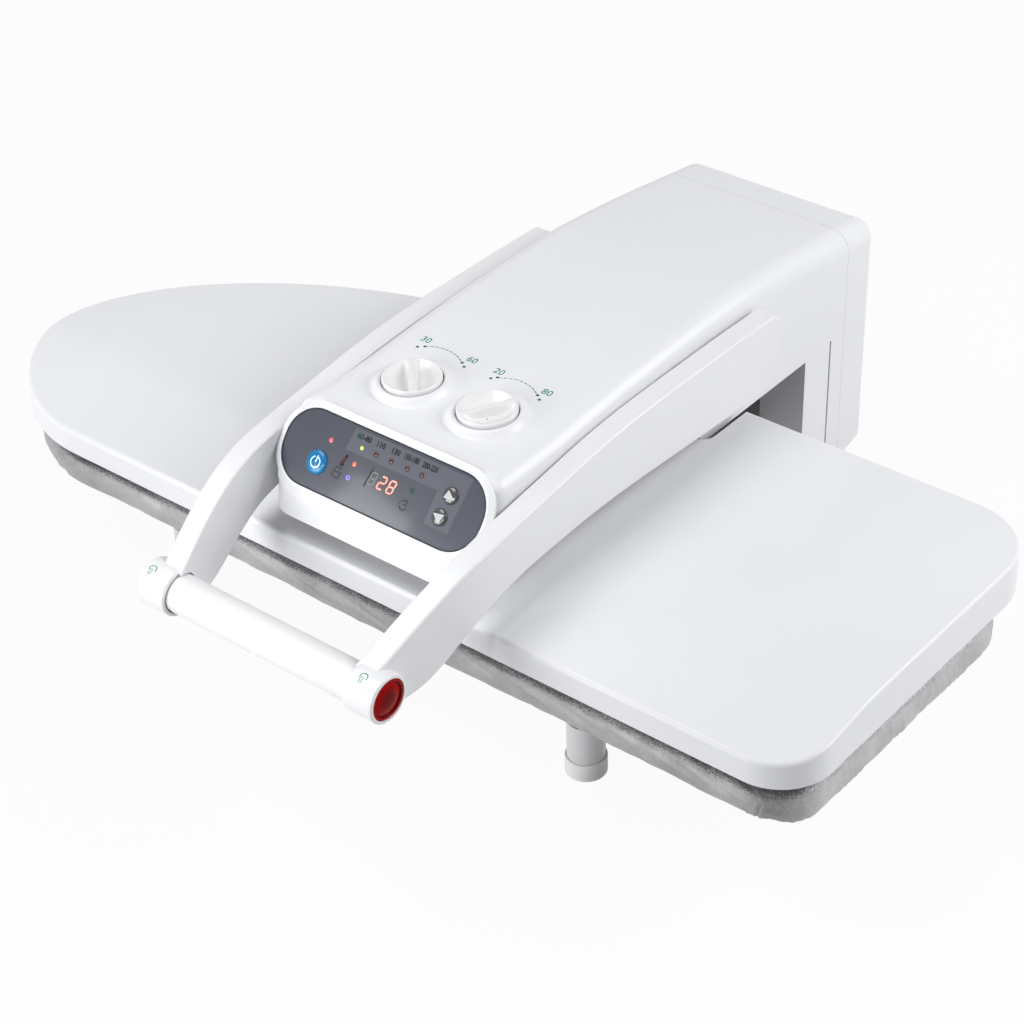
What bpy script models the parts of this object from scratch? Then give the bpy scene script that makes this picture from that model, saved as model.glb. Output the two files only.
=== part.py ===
"""Steam ironing press: a padded board on legs, and a hinged head with a heated plate and a lever handle."""
import math

import bmesh
import bpy
from mathutils import Matrix, Vector

for old in list(bpy.data.objects):
    bpy.data.objects.remove(old, do_unlink=True)

# Overall layout, in metres. X runs along the board, Y from front to back, Z up from the table.
gap = 0.0003
overrun = 0.010
board_length = 0.820
board_depth = 0.335
front_edge_y = -0.205
rear_edge_y = front_edge_y + board_depth
half_length = board_length / 2.0
head_x = 0.030

# Outline of the board and of the plate casing above it.
front_corner_radius = 0.043
rear_corner_radius = 0.060
nose_tip_share = 0.3135
nose_front_start_share = 0.146
nose_rear_start_share = 0.43
nose_front_pull_shares = (0.071, 0.0, 0.0, 0.15)
nose_rear_pull_shares = (0.0, 0.615, 0.204, 1.0)
corner_steps = 7
rim_steps = 3
nose_steps = 9

# Plate casing, the white lid over the heated plate.
casing_top_z = 0.150
casing_height = 0.034
casing_front_drop_height = 0.013
casing_slope_depth = 0.088
casing_wall = 0.0025
casing_rim_radius = 0.0035
notch_half_width = 0.109
notch_depth = 0.058
notch_radius = 0.012

# Heated plate.
plate_inset = 0.009
plate_thickness = 0.009
plate_bottom_z = 0.111
steam_hole_radius = 0.003
steam_hole_rows = 3
steam_hole_columns = 8
steam_hole_field_shares = (0.20, 0.88)
steam_hole_front_inset = 0.0737
steam_hole_clearance = 0.0067

# Padded board.
pad_inset = 0.003
pad_left_inset = 0.008
pad_rear_inset = 0.026
pad_bottom_z = 0.080
pad_crown_z = plate_bottom_z - gap
pad_pocket_inset = 0.016
panel_thickness = 0.003

# Base frame and legs.
frame_bar_width = 0.026
frame_bar_height = 0.030
frame_wall = 0.002
leg_radius = 0.0150
leg_cap_radius = 0.0162
leg_cap_height = 0.0155
leg_cap_wall = 0.0025
leg_cap_overlap = 0.010
leg_front_inset = 0.051
leg_rear_inset = 0.067
leg_front_y = front_edge_y + leg_front_inset
leg_rear_y = rear_edge_y - leg_rear_inset
leg_right_x = 0.194
leg_left_x = -0.215
leg_rear_left_x = -0.160

# Rear hinge.
hinge_reach = 0.158
hinge_y = rear_edge_y + hinge_reach
hinge_z = 0.088
hinge_pin_radius = 0.005
bracket_half_width = 0.044
bracket_thickness = 0.004
ear_gap = 0.0015
frame_plate = 0.0025
hinge_boss_radius = 0.018
pin_head_radius = 0.008
pin_head_height = 0.003
spring_radius = 0.0115
spring_wire_radius = 0.0013
spring_turns = 7.5
spring_pitch_share = 2.6

# Head cover.
cover_front_y = -0.2063
cover_rear_reach = 0.0425
cover_rear_y = hinge_y + cover_rear_reach
cover_half_width_front = 0.0995
cover_rear_taper = 0.0040
cover_half_width_rear = cover_half_width_front - cover_rear_taper
cover_wall = 0.0025
cover_seam_depth = 0.040
cover_skirt_z = 0.1597
cover_waist_z = 0.139
cover_waist_clearance = 0.008
cover_waist_y = rear_edge_y - notch_depth + cover_waist_clearance
column_front_reach = 0.056
column_front_y = hinge_y - column_front_reach
column_bottom_z = 0.008
column_rear_bottom_z = 0.021
column_chamfer_reach = 0.005
column_chamfer_y = hinge_y - column_chamfer_reach
cover_length = cover_rear_y - cover_front_y
panel_low_y = -0.2036
panel_low_z = 0.1819
panel_top_y = -0.1616
panel_top_z = 0.2372
roof_drop_height = 0.0210
roof_peak_z = 0.2490
roof_shares = ((0.165, 0.555), (0.217, 0.49), (0.28, 0.355), (0.40, 0.145), (0.52, 0.04), (0.63, 0.0),
               (0.70, 0.105), (0.78, 0.29), (0.87, 0.565), (1.0, 1.0))
roof_edge_radius = 0.018
skirt_edge_radius = 0.024
rear_edge_radius = 0.008
slope_edge_radius = 0.014
panel_edge_radius = 0.006
cover_edge_steps = 3
collar_sides = 24
knob_sides = 28
hub_sides = 24
bore_sides = 20
return_half_width = 0.053
slot_width = 0.0016
slot_reach = 0.018
slot_y = hinge_y - slot_reach
slot_top_z = 0.141

# Control panel.
lens_side_margin = 0.0045
lens_length = 2.0 * (cover_half_width_front - lens_side_margin)
lens_height = 0.0590
lens_radius = 0.0270
lens_thickness = 0.0015
bezel_rim = 0.0048
bezel_proud = 0.0022
bezel_root = 0.0020
window_end_margin = 0.0235
window_length = lens_length - 2.0 * window_end_margin
window_height = 0.0390
window_radius = 0.0100
panel_centre_share = 0.52
power_button_radius = 0.0093
arrow_button_radius = 0.0068
button_height = 0.0024
button_flange = 0.0012
button_dome_shares = ((1.0, 0.2), (0.93, 0.48), (0.78, 0.74), (0.5, 0.93), (0.0, 1.0))
power_end_inset = 0.0125
power_height_share = -0.144
up_end_inset = 0.0095
up_height_share = 0.161
down_end_inset = 0.0120
down_height_share = -0.136
led_radius = 0.0016
lamp_place_shares = ((-0.284, 0.175), (-0.140, 0.010), (-0.146, -0.173), (-0.134, 0.237), (-0.0595, 0.237),
                     (0.0163, 0.237), (0.0968, 0.237), (0.1716, 0.237), (0.153, 0.010))
display_width = 0.0330
display_height = 0.0160
display_place_shares = (0.0184, -0.068)
board_thickness = 0.0016
board_margin = 0.0040

# Knobs.
knob_spacing = 0.0726
knob_y = -0.1040
knob_radius = 0.0232
knob_height = 0.0075
knob_clearance = 0.0008
knob_edge_shares = ((1.0, 0.80), (0.975, 0.93), (0.93, 1.0), (0.0, 1.0))
knob_scoop_share = 0.90
knob_scoop_depth = 0.0030
knob_rib_width = 0.0052
left_knob_turn = -47.7
right_knob_turn = 56.5
collar_base_radius = 0.0355
collar_top_radius = 0.0262
collar_height = 0.0058
collar_wall = 0.0014
collar_flank_shares = ((1.0, 0.0), (0.72, 0.10), (0.46, 0.36), (0.24, 0.74), (0.08, 0.95), (0.0, 1.0))
control_clearance = 0.0005
shaft_radius = 0.003
control_radius = 0.012
control_height = 0.012

# Handle: two arms, a bar between two hubs, and a button in the end of each hub.
arm_pivot_reach = 0.143
arm_pivot_y = hinge_y - arm_pivot_reach
arm_pivot_z = 0.200
arm_eye_radius = 0.033
arm_eye_reach = 0.0165
arm_clearance = 0.0040
arm_thickness = 0.0165
arm_hub_inset = 0.0165
arm_half_width = cover_half_width_front + arm_clearance + arm_thickness
arm_hub_half_width = arm_half_width - arm_hub_inset
arm_bend_y = -0.202
arm_edge_radius = 0.0022
arm_top_z = 0.234
arm_drop_height = 0.090
arm_shares = ((0.0, 0.80, 1.205), (0.02, 0.744, 1.208), (0.04, 0.677, 1.20), (0.0857, 0.538, 1.155),
              (0.125, 0.435, 1.065), (0.17, 0.335, 0.935), (0.225, 0.257, 0.805), (0.30, 0.19, 0.713),
              (0.40, 0.123, 0.668), (0.51, 0.05, 0.645), (0.62, 0.01, 0.655), (0.76, 0.0, 0.689),
              (0.905, 0.0, 0.722))
arm_bend_power = 1.6
eye_angles = (0.0, 18.0, 36.0, 52.0, 66.0, 78.0, 86.0)
hub_y = -0.3100
hub_z = 0.144
hub_radius = 0.0190
hub_proud = 0.0105
hub_half_width = arm_hub_half_width + hub_proud
hub_length = 0.0265
grip_radius = 0.0152
grip_wall = 0.0025
grip_socket = 0.005
rod_radius = 0.0060
steam_button_radius = 0.0160
steam_button_length = 0.0075
steam_button_recess = 0.0005
steam_button_shares = ((1.0, 0.92), (0.96, 1.0), (0.88, 1.0), (0.85, 0.86), (0.78, 0.93), (0.55, 1.05),
                       (0.28, 1.12), (0.0, 1.14))
steam_bore_depth = 0.0170
return_spring_radius = 0.0078
return_spring_wire_radius = 0.0007
return_spring_turns = 3.5
handle_shaft_radius = 0.007
handle_shaft_socket = 0.010
bush_radius = 0.0115
bush_flange_radius = 0.0145

# Inside the head.
frame_front_inset = 0.065
frame_front_y = front_edge_y + frame_front_inset
frame_top_z = 0.222
frame_drop_height = 0.045
plate_frame_rear_inset = 0.085
plate_frame_rear_y = rear_edge_y - plate_frame_rear_inset
stud_radius = 0.004
stud_head_radius = 0.007
stud_head_height = 0.004
stud_reach = 0.062
tank_low_z = 0.145
tank_height = 0.060
tank_depth = 0.077
tank_rear_clearance = 0.0052
tank_front_y = cover_rear_y - cover_wall - gap - frame_plate - tank_rear_clearance - tank_depth
tank_radius = 0.008
tank_wall = 0.002
tank_neck_radius = 0.011
pump_radius = 0.014
pump_length = 0.050
hose_radius = 0.003
element_radius = 0.0035
element_front_share = 0.20
element_rear_share = 0.72
element_end_share = 0.20
element_nose_share = 0.30
thermostat_radius = 0.0090
thermostat_height = 0.0080
screw_radius = 0.0018
screw_head_radius = 0.0035
screw_head_height = 0.0020
screw_length = 0.0070
screw_spread = 0.034
screw_low_z = 0.160
screw_high_z = 0.192
gland_side_inset = 0.0355
gland_offset = cover_half_width_rear - gland_side_inset
gland_z = 0.045
gland_radius = 0.0070
gland_flange_radius = 0.0100
gland_flange = 0.0030
gland_bore = 0.0036
gland_length = 0.0120


def material(name, colour, roughness, metallic=0.0):
    """Returns a plain Principled material."""
    made = bpy.data.materials.new(name)
    made.use_nodes = True
    shader = made.node_tree.nodes["Principled BSDF"]
    shader.inputs["Base Color"].default_value = (*colour, 1.0)
    shader.inputs["Roughness"].default_value = roughness
    shader.inputs["Metallic"].default_value = metallic
    made.diffuse_color = (*colour, 1.0)
    return made


white = (0.86, 0.87, 0.89)
steel = (0.55, 0.56, 0.58)
black_steel = (0.03, 0.03, 0.035)


def finish(bm, name, colour, roughness, metallic=0.0):
    """Turns a bmesh into a named object with its own material."""
    bmesh.ops.recalc_face_normals(bm, faces=bm.faces)
    mesh = bpy.data.meshes.new(name)
    bm.to_mesh(mesh)
    bm.free()
    made = bpy.data.objects.new(name, mesh)
    bpy.context.scene.collection.objects.link(made)
    made.data.materials.append(material(name + "_finish", colour, roughness, metallic))
    return made


def helper(made):
    """Marks an object as a cutter or guide that isn't part of the model."""
    made.hide_render = True
    made.display_type = "WIRE"
    return made


def boolean(target, tool, operation="DIFFERENCE"):
    """Adds an exact Boolean to the target."""
    step = target.modifiers.new(operation.lower(), "BOOLEAN")
    step.operation = operation
    step.solver = "EXACT"
    step.object = helper(tool)
    return target


def bevel(target, width, segments, angle=40.0, weighted=False):
    """Adds a bevel, by edge angle or by the edges' own weights."""
    step = target.modifiers.new("bevel", "BEVEL")
    step.width = width
    step.segments = segments
    step.limit_method = "WEIGHT" if weighted else "ANGLE"
    step.angle_limit = math.radians(angle)
    step.use_clamp_overlap = True
    step.harden_normals = False
    return target


def smooth(made, angle=35.0):
    """Shades smooth across soft edges only."""
    for face in made.data.polygons:
        face.use_smooth = True
    edges = bmesh.new()
    edges.from_mesh(made.data)
    for edge in edges.edges:
        edge.smooth = len(edge.link_faces) == 2 and edge.calc_face_angle(0.0) < math.radians(angle)
    edges.to_mesh(made.data)
    edges.free()
    return made


def arc(cx, cy, radius, start, end, steps):
    """Points of a circular arc, angles in degrees."""
    points = []
    for i in range(steps + 1):
        a = math.radians(start + (end - start) * i / steps)
        points.append((cx + radius * math.cos(a), cy + radius * math.sin(a)))
    return points


def bezier(a, b, c, d, steps):
    """Points of a cubic curve, without its first point."""
    points = []
    for i in range(1, steps + 1):
        t = i / steps
        s = 1.0 - t
        points.append(tuple(s ** 3 * a[k] + 3 * s * s * t * b[k] + 3 * s * t * t * c[k] + t ** 3 * d[k]
                            for k in (0, 1)))
    return points


def board_outline():
    """The plan outline of the plate casing, anticlockwise from the front left."""
    left, right = -half_length, half_length
    front, rear = front_edge_y, rear_edge_y
    tip = (left, front + nose_tip_share * board_depth)
    start = (left + nose_front_start_share * board_length, front)
    end = (left + nose_rear_start_share * board_length, rear)
    f, r = nose_front_pull_shares, nose_rear_pull_shares
    points = arc(right - front_corner_radius, front + front_corner_radius, front_corner_radius,
                 -90.0, 0.0, corner_steps)
    points += arc(right - rear_corner_radius, rear - rear_corner_radius, rear_corner_radius,
                  0.0, 90.0, corner_steps)
    points.append(end)
    points += bezier(end, (left + r[2] * board_length, rear), (left, front + r[1] * board_depth), tip,
                     nose_steps + 2)
    points += bezier(tip, (left, front + f[3] * board_depth), (left + f[0] * board_length, front), start,
                     nose_steps)
    return points


def inset(points, distance):
    """Moves every side of an anticlockwise outline inwards."""
    moved = []
    count = len(points)
    for i in range(count):
        before = Vector(points[i - 1])
        here = Vector(points[i])
        after = Vector(points[(i + 1) % count])
        first = (here - before).normalized()
        second = (after - here).normalized()
        n1 = Vector((-first.y, first.x))
        n2 = Vector((-second.y, second.x))
        across = (n1 + n2).normalized()
        moved.append(tuple(here + across * distance / max(across.dot(n1), 0.5)))
    return moved


def loft(rings, close=True):
    """Skins a list of equal rings of points and caps both ends."""
    bm = bmesh.new()
    made = [[bm.verts.new(p) for p in ring] for ring in rings]
    for low, high in zip(made, made[1:]):
        count = len(low)
        for i in range(count):
            j = (i + 1) % count
            bm.faces.new((low[i], low[j], high[j], high[i]))
    if close:
        bm.faces.new(list(reversed(made[0])))
        bm.faces.new(made[-1])
    return bm


def slab(points, low, high):
    """A prism standing on a plan outline."""
    return loft([[(x, y, low) for x, y in points], [(x, y, high) for x, y in points]])


def side_prism(points, x_low, x_high):
    """A prism along X on an outline of (y, z) points."""
    return loft([[(x_low, y, z) for y, z in points], [(x_high, y, z) for y, z in points]])


def box(low, high):
    """An axis-aligned block between two corners."""
    points = [(low[0], low[1]), (high[0], low[1]), (high[0], high[1]), (low[0], high[1])]
    return slab(points, low[2], high[2])


def lathe(profile, segments, closed=False):
    """Turns (radius, height) points about Z. A closed profile makes a ring."""
    bm = bmesh.new()
    rings = []
    for radius, height in profile:
        if radius <= 0.0:
            rings.append([bm.verts.new((0.0, 0.0, height))])
            continue
        ring = []
        for i in range(segments):
            a = 2.0 * math.pi * i / segments
            ring.append(bm.verts.new((radius * math.cos(a), radius * math.sin(a), height)))
        rings.append(ring)
    pairs = list(zip(rings, rings[1:]))
    if closed:
        pairs.append((rings[-1], rings[0]))
    for low, high in pairs:
        for i in range(segments):
            j = (i + 1) % segments
            if len(low) == 1 and len(high) == 1:
                continue
            if len(low) == 1:
                bm.faces.new((low[0], high[j], high[i]))
            elif len(high) == 1:
                bm.faces.new((low[i], low[j], high[0]))
            else:
                bm.faces.new((low[i], low[j], high[j], high[i]))
    if not closed:
        for ring in (rings[0], rings[-1]):
            if len(ring) > 1:
                bm.faces.new(ring)
    return bm


def rod(radius, low, high, segments=16):
    """A plain cylinder about Z."""
    return lathe([(radius, low), (radius, high)], segments)


def tube(inner, outer, low, high, segments=24):
    """A plain ring about Z."""
    return lathe([(inner, low), (outer, low), (outer, high), (inner, high)], segments, closed=True)


def merge(*parts):
    """Puts several bmeshes into the first one."""
    first = parts[0]
    for other in parts[1:]:
        mesh = bpy.data.meshes.new("joining")
        other.to_mesh(mesh)
        other.free()
        first.from_mesh(mesh)
        bpy.data.meshes.remove(mesh)
    return first


def place(bm, matrix):
    """Moves a bmesh."""
    bmesh.ops.transform(bm, matrix=matrix, verts=bm.verts)
    return bm


along_x = Matrix.Rotation(math.radians(90.0), 4, "Y")


def shift(x, y, z):
    """A translation matrix."""
    return Matrix.Translation((x, y, z))


def coil(radius, wire, length, turns, steps=8, sides=5):
    """A closed helical wire about Z, starting at height zero."""
    rings = []
    count = int(turns * steps)
    for i in range(count + 1):
        a = 2.0 * math.pi * turns * i / count
        centre = Vector((radius * math.cos(a), radius * math.sin(a), length * i / count))
        outward = Vector((math.cos(a), math.sin(a), 0.0))
        ring = []
        for k in range(sides):
            b = 2.0 * math.pi * k / sides
            ring.append(centre + outward * wire * math.cos(b) + Vector((0.0, 0.0, wire * math.sin(b))))
        rings.append(ring)
    return loft(rings)


def rounded_rectangle(width, height, radius, steps=6):
    """An anticlockwise outline about the origin."""
    points = []
    w, h = width / 2.0 - radius, height / 2.0 - radius
    for cx, cy, start in ((w, h, 0.0), (-w, h, 90.0), (-w, -h, 180.0), (w, -h, 270.0)):
        points += arc(cx, cy, radius, start, start + 90.0, steps)
    return points


# Base frame: two cross bars joined by two long bars, all of folded steel channel that is open below.
frame_top_of_base = pad_bottom_z - gap
frame_bottom_of_base = frame_top_of_base - frame_bar_height
bar_half = frame_bar_width / 2.0
run_x = bracket_half_width + gap + bar_half
run_front_y = leg_front_y + bar_half + gap
run_rear_y = leg_rear_y - bar_half - gap
frame_bars = (
    ("front_cross_bar", leg_left_x - bar_half, leg_right_x + bar_half, leg_front_y - bar_half,
     leg_front_y + bar_half),
    ("rear_cross_bar", leg_rear_left_x - bar_half, leg_right_x + bar_half, leg_rear_y - bar_half,
     leg_rear_y + bar_half),
    ("left_long_bar", head_x - run_x - bar_half, head_x - run_x + bar_half, run_front_y, run_rear_y),
    ("right_long_bar", head_x + run_x - bar_half, head_x + run_x + bar_half, run_front_y, run_rear_y),
)
for name, left, right, front, rear in frame_bars:
    bar = finish(box((left, front, frame_bottom_of_base), (right, rear, frame_top_of_base)), name,
                 black_steel,
                 0.5, 0.6)
    channel = finish(box((left + frame_wall, front + frame_wall, frame_bottom_of_base - frame_wall),
                         (right - frame_wall, rear - frame_wall, frame_top_of_base - frame_wall)),
                     name + "_channel", black_steel, 0.5)
    boolean(bar, channel)

# Legs with their caps and rubber pads.
leg_places = ((leg_right_x, leg_front_y), (leg_left_x, leg_front_y), (leg_right_x, leg_rear_y),
              (leg_rear_left_x, leg_rear_y))
leg_low = leg_cap_height - leg_cap_overlap + gap
leg_names = ("front_right", "front_left", "rear_right", "rear_left")
for spot, (x, y) in zip(leg_names, leg_places):
    stem = finish(rod(leg_radius - gap, leg_low, frame_bottom_of_base - gap, 20), spot + "_leg", white, 0.35)
    stem.location = (x, y, 0.0)
    smooth(stem)
    rim = leg_cap_radius
    floor = leg_low - gap
    soft = leg_cap_wall / 2.0
    cap = finish(lathe([(0.0, 0.0), (rim - soft, 0.0), (rim, soft), (rim, leg_cap_height - soft / 2.0),
                        (rim - soft / 2.0, leg_cap_height), (leg_radius, leg_cap_height), (leg_radius, floor),
                        (0.0, floor)], 20), spot + "_leg_cap", white, 0.45)
    cap.location = (x, y, 0.0)
    smooth(cap)

# Board: a thin steel panel in a pocket under the crowned pad.
outline = board_outline()


def board_edge(distance):
    """The outline moved inwards, and drawn in further at the nose and along the rear."""
    length_share = 1.0 - pad_left_inset / board_length
    depth_share = 1.0 - pad_rear_inset / board_depth
    return [(half_length + (x - half_length) * length_share, front_edge_y + (y - front_edge_y) * depth_share)
            for x, y in inset(outline, distance)]


pad_edge = board_edge(pad_inset)
panel_edge = board_edge(pad_pocket_inset + gap)
finish(slab(panel_edge, pad_bottom_z, pad_bottom_z + panel_thickness), "board_panel", steel, 0.4, 0.8)

pad_height = pad_crown_z - pad_bottom_z
pad_side_shares = ((0.009, 0.0), (0.002, 0.07), (0.0, 0.22), (0.0, 0.52), (0.0016, 0.72), (0.0058, 0.845),
                   (0.016, 0.915), (0.045, 0.965), (0.115, 0.992), (0.24, 1.0))
rings = []
for inward, up in pad_side_shares:
    ring = inset(pad_edge, inward * board_depth)
    rings.append([(x, y, pad_bottom_z + up * pad_height) for x, y in ring])
pad = finish(loft(rings), "board_pad", (0.47, 0.47, 0.48), 0.6)
pocket_edge = board_edge(pad_pocket_inset)
pocket = finish(slab(pocket_edge, pad_bottom_z - panel_thickness, pad_bottom_z + panel_thickness + gap),
                "pad_pocket", steel, 0.5)
boolean(pad, pocket)
smooth(pad, 50.0)

# Hinge bracket on the base: two steel ears joined by a cross plate, carried by the two long bars.
ear_front_y = leg_rear_y + bar_half + gap
ear_outline = [(ear_front_y, frame_bottom_of_base + frame_wall),
               (hinge_y - 3.0 * hinge_boss_radius, frame_bottom_of_base + frame_wall),
               (hinge_y - hinge_boss_radius, hinge_z - 1.1 * hinge_boss_radius)]
ear_outline += arc(hinge_y, hinge_z, 0.8 * hinge_boss_radius, -75.0, 100.0, 8)
ear_outline += [(hinge_y - 3.0 * hinge_boss_radius, frame_top_of_base - gap),
                (ear_front_y, frame_top_of_base - gap)]
outer_x = bracket_half_width
bracket = finish(side_prism(ear_outline, head_x - outer_x, head_x - outer_x + bracket_thickness),
                 "hinge_bracket", black_steel, 0.45, 0.7)
other_ear = finish(side_prism(ear_outline, head_x + outer_x - bracket_thickness, head_x + outer_x),
                   "other_ear", black_steel, 0.45)
cross_low = ear_front_y
cross = finish(box((head_x - outer_x, cross_low, frame_bottom_of_base + 2.0 * frame_wall),
                   (head_x + outer_x, cross_low + bracket_thickness, frame_top_of_base - 2.0 * frame_wall)),
               "cross_plate", black_steel, 0.45)
boolean(bracket, other_ear, "UNION")
boolean(bracket, cross, "UNION")
pin_bore = finish(place(rod(hinge_pin_radius + gap, -cover_half_width_front, cover_half_width_front, 20),
                        shift(head_x, hinge_y, hinge_z) @ along_x), "pin_bore", steel, 0.4)
boolean(bracket, pin_bore)

ear_inner = bracket_half_width + ear_gap
ear_outer = ear_inner + frame_plate
pin_half = ear_outer + gap
pin = finish(place(lathe([(0.0, -pin_half - pin_head_height), (pin_head_radius, -pin_half - pin_head_height),
                          (pin_head_radius, -pin_half), (hinge_pin_radius, -pin_half),
                          (hinge_pin_radius, pin_half), (pin_head_radius, pin_half),
                          (pin_head_radius, pin_half + pin_head_height), (0.0, pin_half + pin_head_height)],
                          20),
                   along_x), "hinge_pin", steel, 0.25, 1.0)
pin.location = (head_x, hinge_y, hinge_z)
smooth(pin)

# Torsion springs that balance the head, one beside each ear of the bracket.
spring_length = spring_turns * spring_pitch_share * spring_wire_radius
for side, name in ((-1.0, "left_lift_spring"), (1.0, "right_lift_spring")):
    start = bracket_half_width - bracket_thickness - spring_wire_radius - gap
    wire = coil(spring_radius, spring_wire_radius, spring_length, spring_turns)
    place(wire, Matrix.Rotation(math.radians(90.0 * side), 4, "Y"))
    spring = finish(wire, name, steel, 0.3, 1.0)
    spring.location = (head_x + side * (start - spring_length), hinge_y, hinge_z)
    smooth(spring, 80.0)

# Everything above the hinge turns with the head, and the lever turns in the head.
head_pivot = bpy.data.objects.new("head_pivot", None)
head_pivot.location = (head_x, hinge_y, hinge_z)
bpy.context.scene.collection.objects.link(head_pivot)
handle_pivot = bpy.data.objects.new("handle_pivot", None)
handle_pivot.location = (head_x, arm_pivot_y, arm_pivot_z)
bpy.context.scene.collection.objects.link(handle_pivot)


def ride(made, pivot):
    """Parents an object to a pivot and leaves it where it is."""
    made.parent = pivot
    made.matrix_parent_inverse = Matrix.Translation(-Vector(pivot.location))
    return made


handle_pivot.parent = head_pivot
handle_pivot.matrix_parent_inverse = Matrix.Translation(-Vector(head_pivot.location))

frame_seat_z = casing_top_z + gap

# Steel frame of the head: two side plates that end in the hinge ears, on a pressure plate.
frame_rear_y = cover_rear_y - cover_wall - gap
side_outline = [(frame_front_y, frame_seat_z), (column_front_y + 6.0 * cover_wall, frame_seat_z),
                (hinge_y - hinge_boss_radius, hinge_z)]
side_outline += arc(hinge_y, hinge_z, hinge_boss_radius, -160.0, 0.0, 8)
side_outline += [(frame_rear_y, hinge_z + 2.0 * hinge_boss_radius),
                 (frame_rear_y, frame_top_z - 0.4 * frame_drop_height),
                 (arm_pivot_y + arm_eye_radius, frame_top_z),
                 (arm_pivot_y - 2.0 * arm_eye_radius, frame_top_z),
                 (frame_front_y + 0.5 * frame_drop_height, frame_seat_z + frame_drop_height),
                 (frame_front_y, frame_seat_z + frame_drop_height)]
head_frame = finish(side_prism(side_outline, head_x - ear_outer, head_x - ear_inner), "head_frame",
                    steel, 0.45, 0.8)
other_side = finish(side_prism(side_outline, head_x + ear_inner, head_x + ear_outer), "other_side", steel,
                    0.45)
pressure = finish(box((head_x - stud_reach - 2.0 * stud_head_radius, frame_front_y, frame_seat_z),
                      (head_x + stud_reach + 2.0 * stud_head_radius, plate_frame_rear_y,
                       frame_seat_z + frame_plate)),
                  "pressure_plate", steel, 0.45)
bridge = finish(box((head_x - ear_outer, arm_pivot_y + arm_eye_radius, frame_top_z - 2.0 * frame_plate),
                    (head_x + ear_outer, hinge_y, frame_top_z - frame_plate)),
                "bridge_plate", steel, 0.45)
flange = finish(box((head_x - ear_outer, frame_rear_y - frame_plate, tank_low_z),
                    (head_x + ear_outer, frame_rear_y, frame_top_z - 0.5 * frame_drop_height)),
                "rear_flange", steel, 0.45)
screw_places = [(head_x + sx * screw_spread, z) for z in (screw_low_z, screw_high_z) for sx in (-1.0, 1.0)]
along_y = Matrix.Rotation(math.radians(-90.0), 4, "X")
screw_bores = []
for x, z in screw_places:
    screw_bores.append(place(rod(screw_radius + gap, -overrun, overrun, 12),
                             shift(x, cover_rear_y, z) @ along_y))
screw_bore = finish(merge(*screw_bores), "screw_bores", steel, 0.4)
boolean(head_frame, other_side, "UNION")
boolean(head_frame, pressure, "UNION")
boolean(head_frame, bridge, "UNION")
boolean(head_frame, flange, "UNION")
boolean(head_frame, screw_bore)
boolean(head_frame, pin_bore)
shaft_bore = finish(place(rod(handle_shaft_radius + 2.0 * gap, -ear_outer - frame_plate,
                              ear_outer + frame_plate, bore_sides),
                          shift(head_x, arm_pivot_y, arm_pivot_z) @ along_x), "shaft_bore", steel, 0.4)
boolean(head_frame, shaft_bore)
stud_places = [(head_x + sx * stud_reach, y) for y in (frame_front_y + 4.0 * stud_head_radius,
                                                       plate_frame_rear_y - 3.0 * stud_head_radius)
               for sx in (-1.0, 1.0)]
for number, (x, y) in enumerate(stud_places):
    hole = finish(place(rod(stud_radius + gap, plate_bottom_z + plate_thickness - 2.0 * gap,
                            frame_seat_z + 2.0 * frame_plate, 12), shift(x, y, 0.0)),
                  "stud_hole_%d" % number, steel, 0.4)
    boolean(head_frame, hole)
ride(head_frame, head_pivot)

# Plate casing: a lid whose front slopes down, with a notch at the rear for the head cover.
crease_y = front_edge_y + casing_slope_depth


def casing_top(y, depth=0.0):
    """Height of the lid's top at a distance from the front, lowered by a wall."""
    share = max(0.0, (crease_y - y) / casing_slope_depth)
    return casing_top_z - depth - casing_front_drop_height * share


def split_at(points, y):
    """Adds a point wherever the outline crosses a line along X."""
    added = []
    for here, after in zip(points, points[1:] + points[:1]):
        added.append(here)
        if (here[1] - y) * (after[1] - y) < 0.0:
            t = (y - here[1]) / (after[1] - here[1])
            added.append((here[0] + (after[0] - here[0]) * t, y))
    return added


def lid(points, low, depth, rim):
    """The lid's solid: straight sides, a rounded rim and a top that follows casing_top."""
    creased = split_at(points, crease_y)
    ends = [i for i, point in enumerate(creased) if point[1] == crease_y]
    rings = [[(x, y, low) for x, y in creased]]
    for i in range(rim_steps + 1):
        a = math.radians(90.0 * i / rim_steps)
        ring = inset(creased, rim * (1.0 - math.cos(a)))
        rings.append([(x, y, casing_top(y, depth) - rim * (1.0 - math.sin(a))) for x, y in ring])
    bm = loft(rings)
    bm.faces.ensure_lookup_table()
    bm.verts.ensure_lookup_table()
    first = len(rings[0]) * (rim_steps + 1)
    bmesh.utils.face_split(bm.faces[-1], bm.verts[first + ends[0]], bm.verts[first + ends[1]])
    return bm


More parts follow.
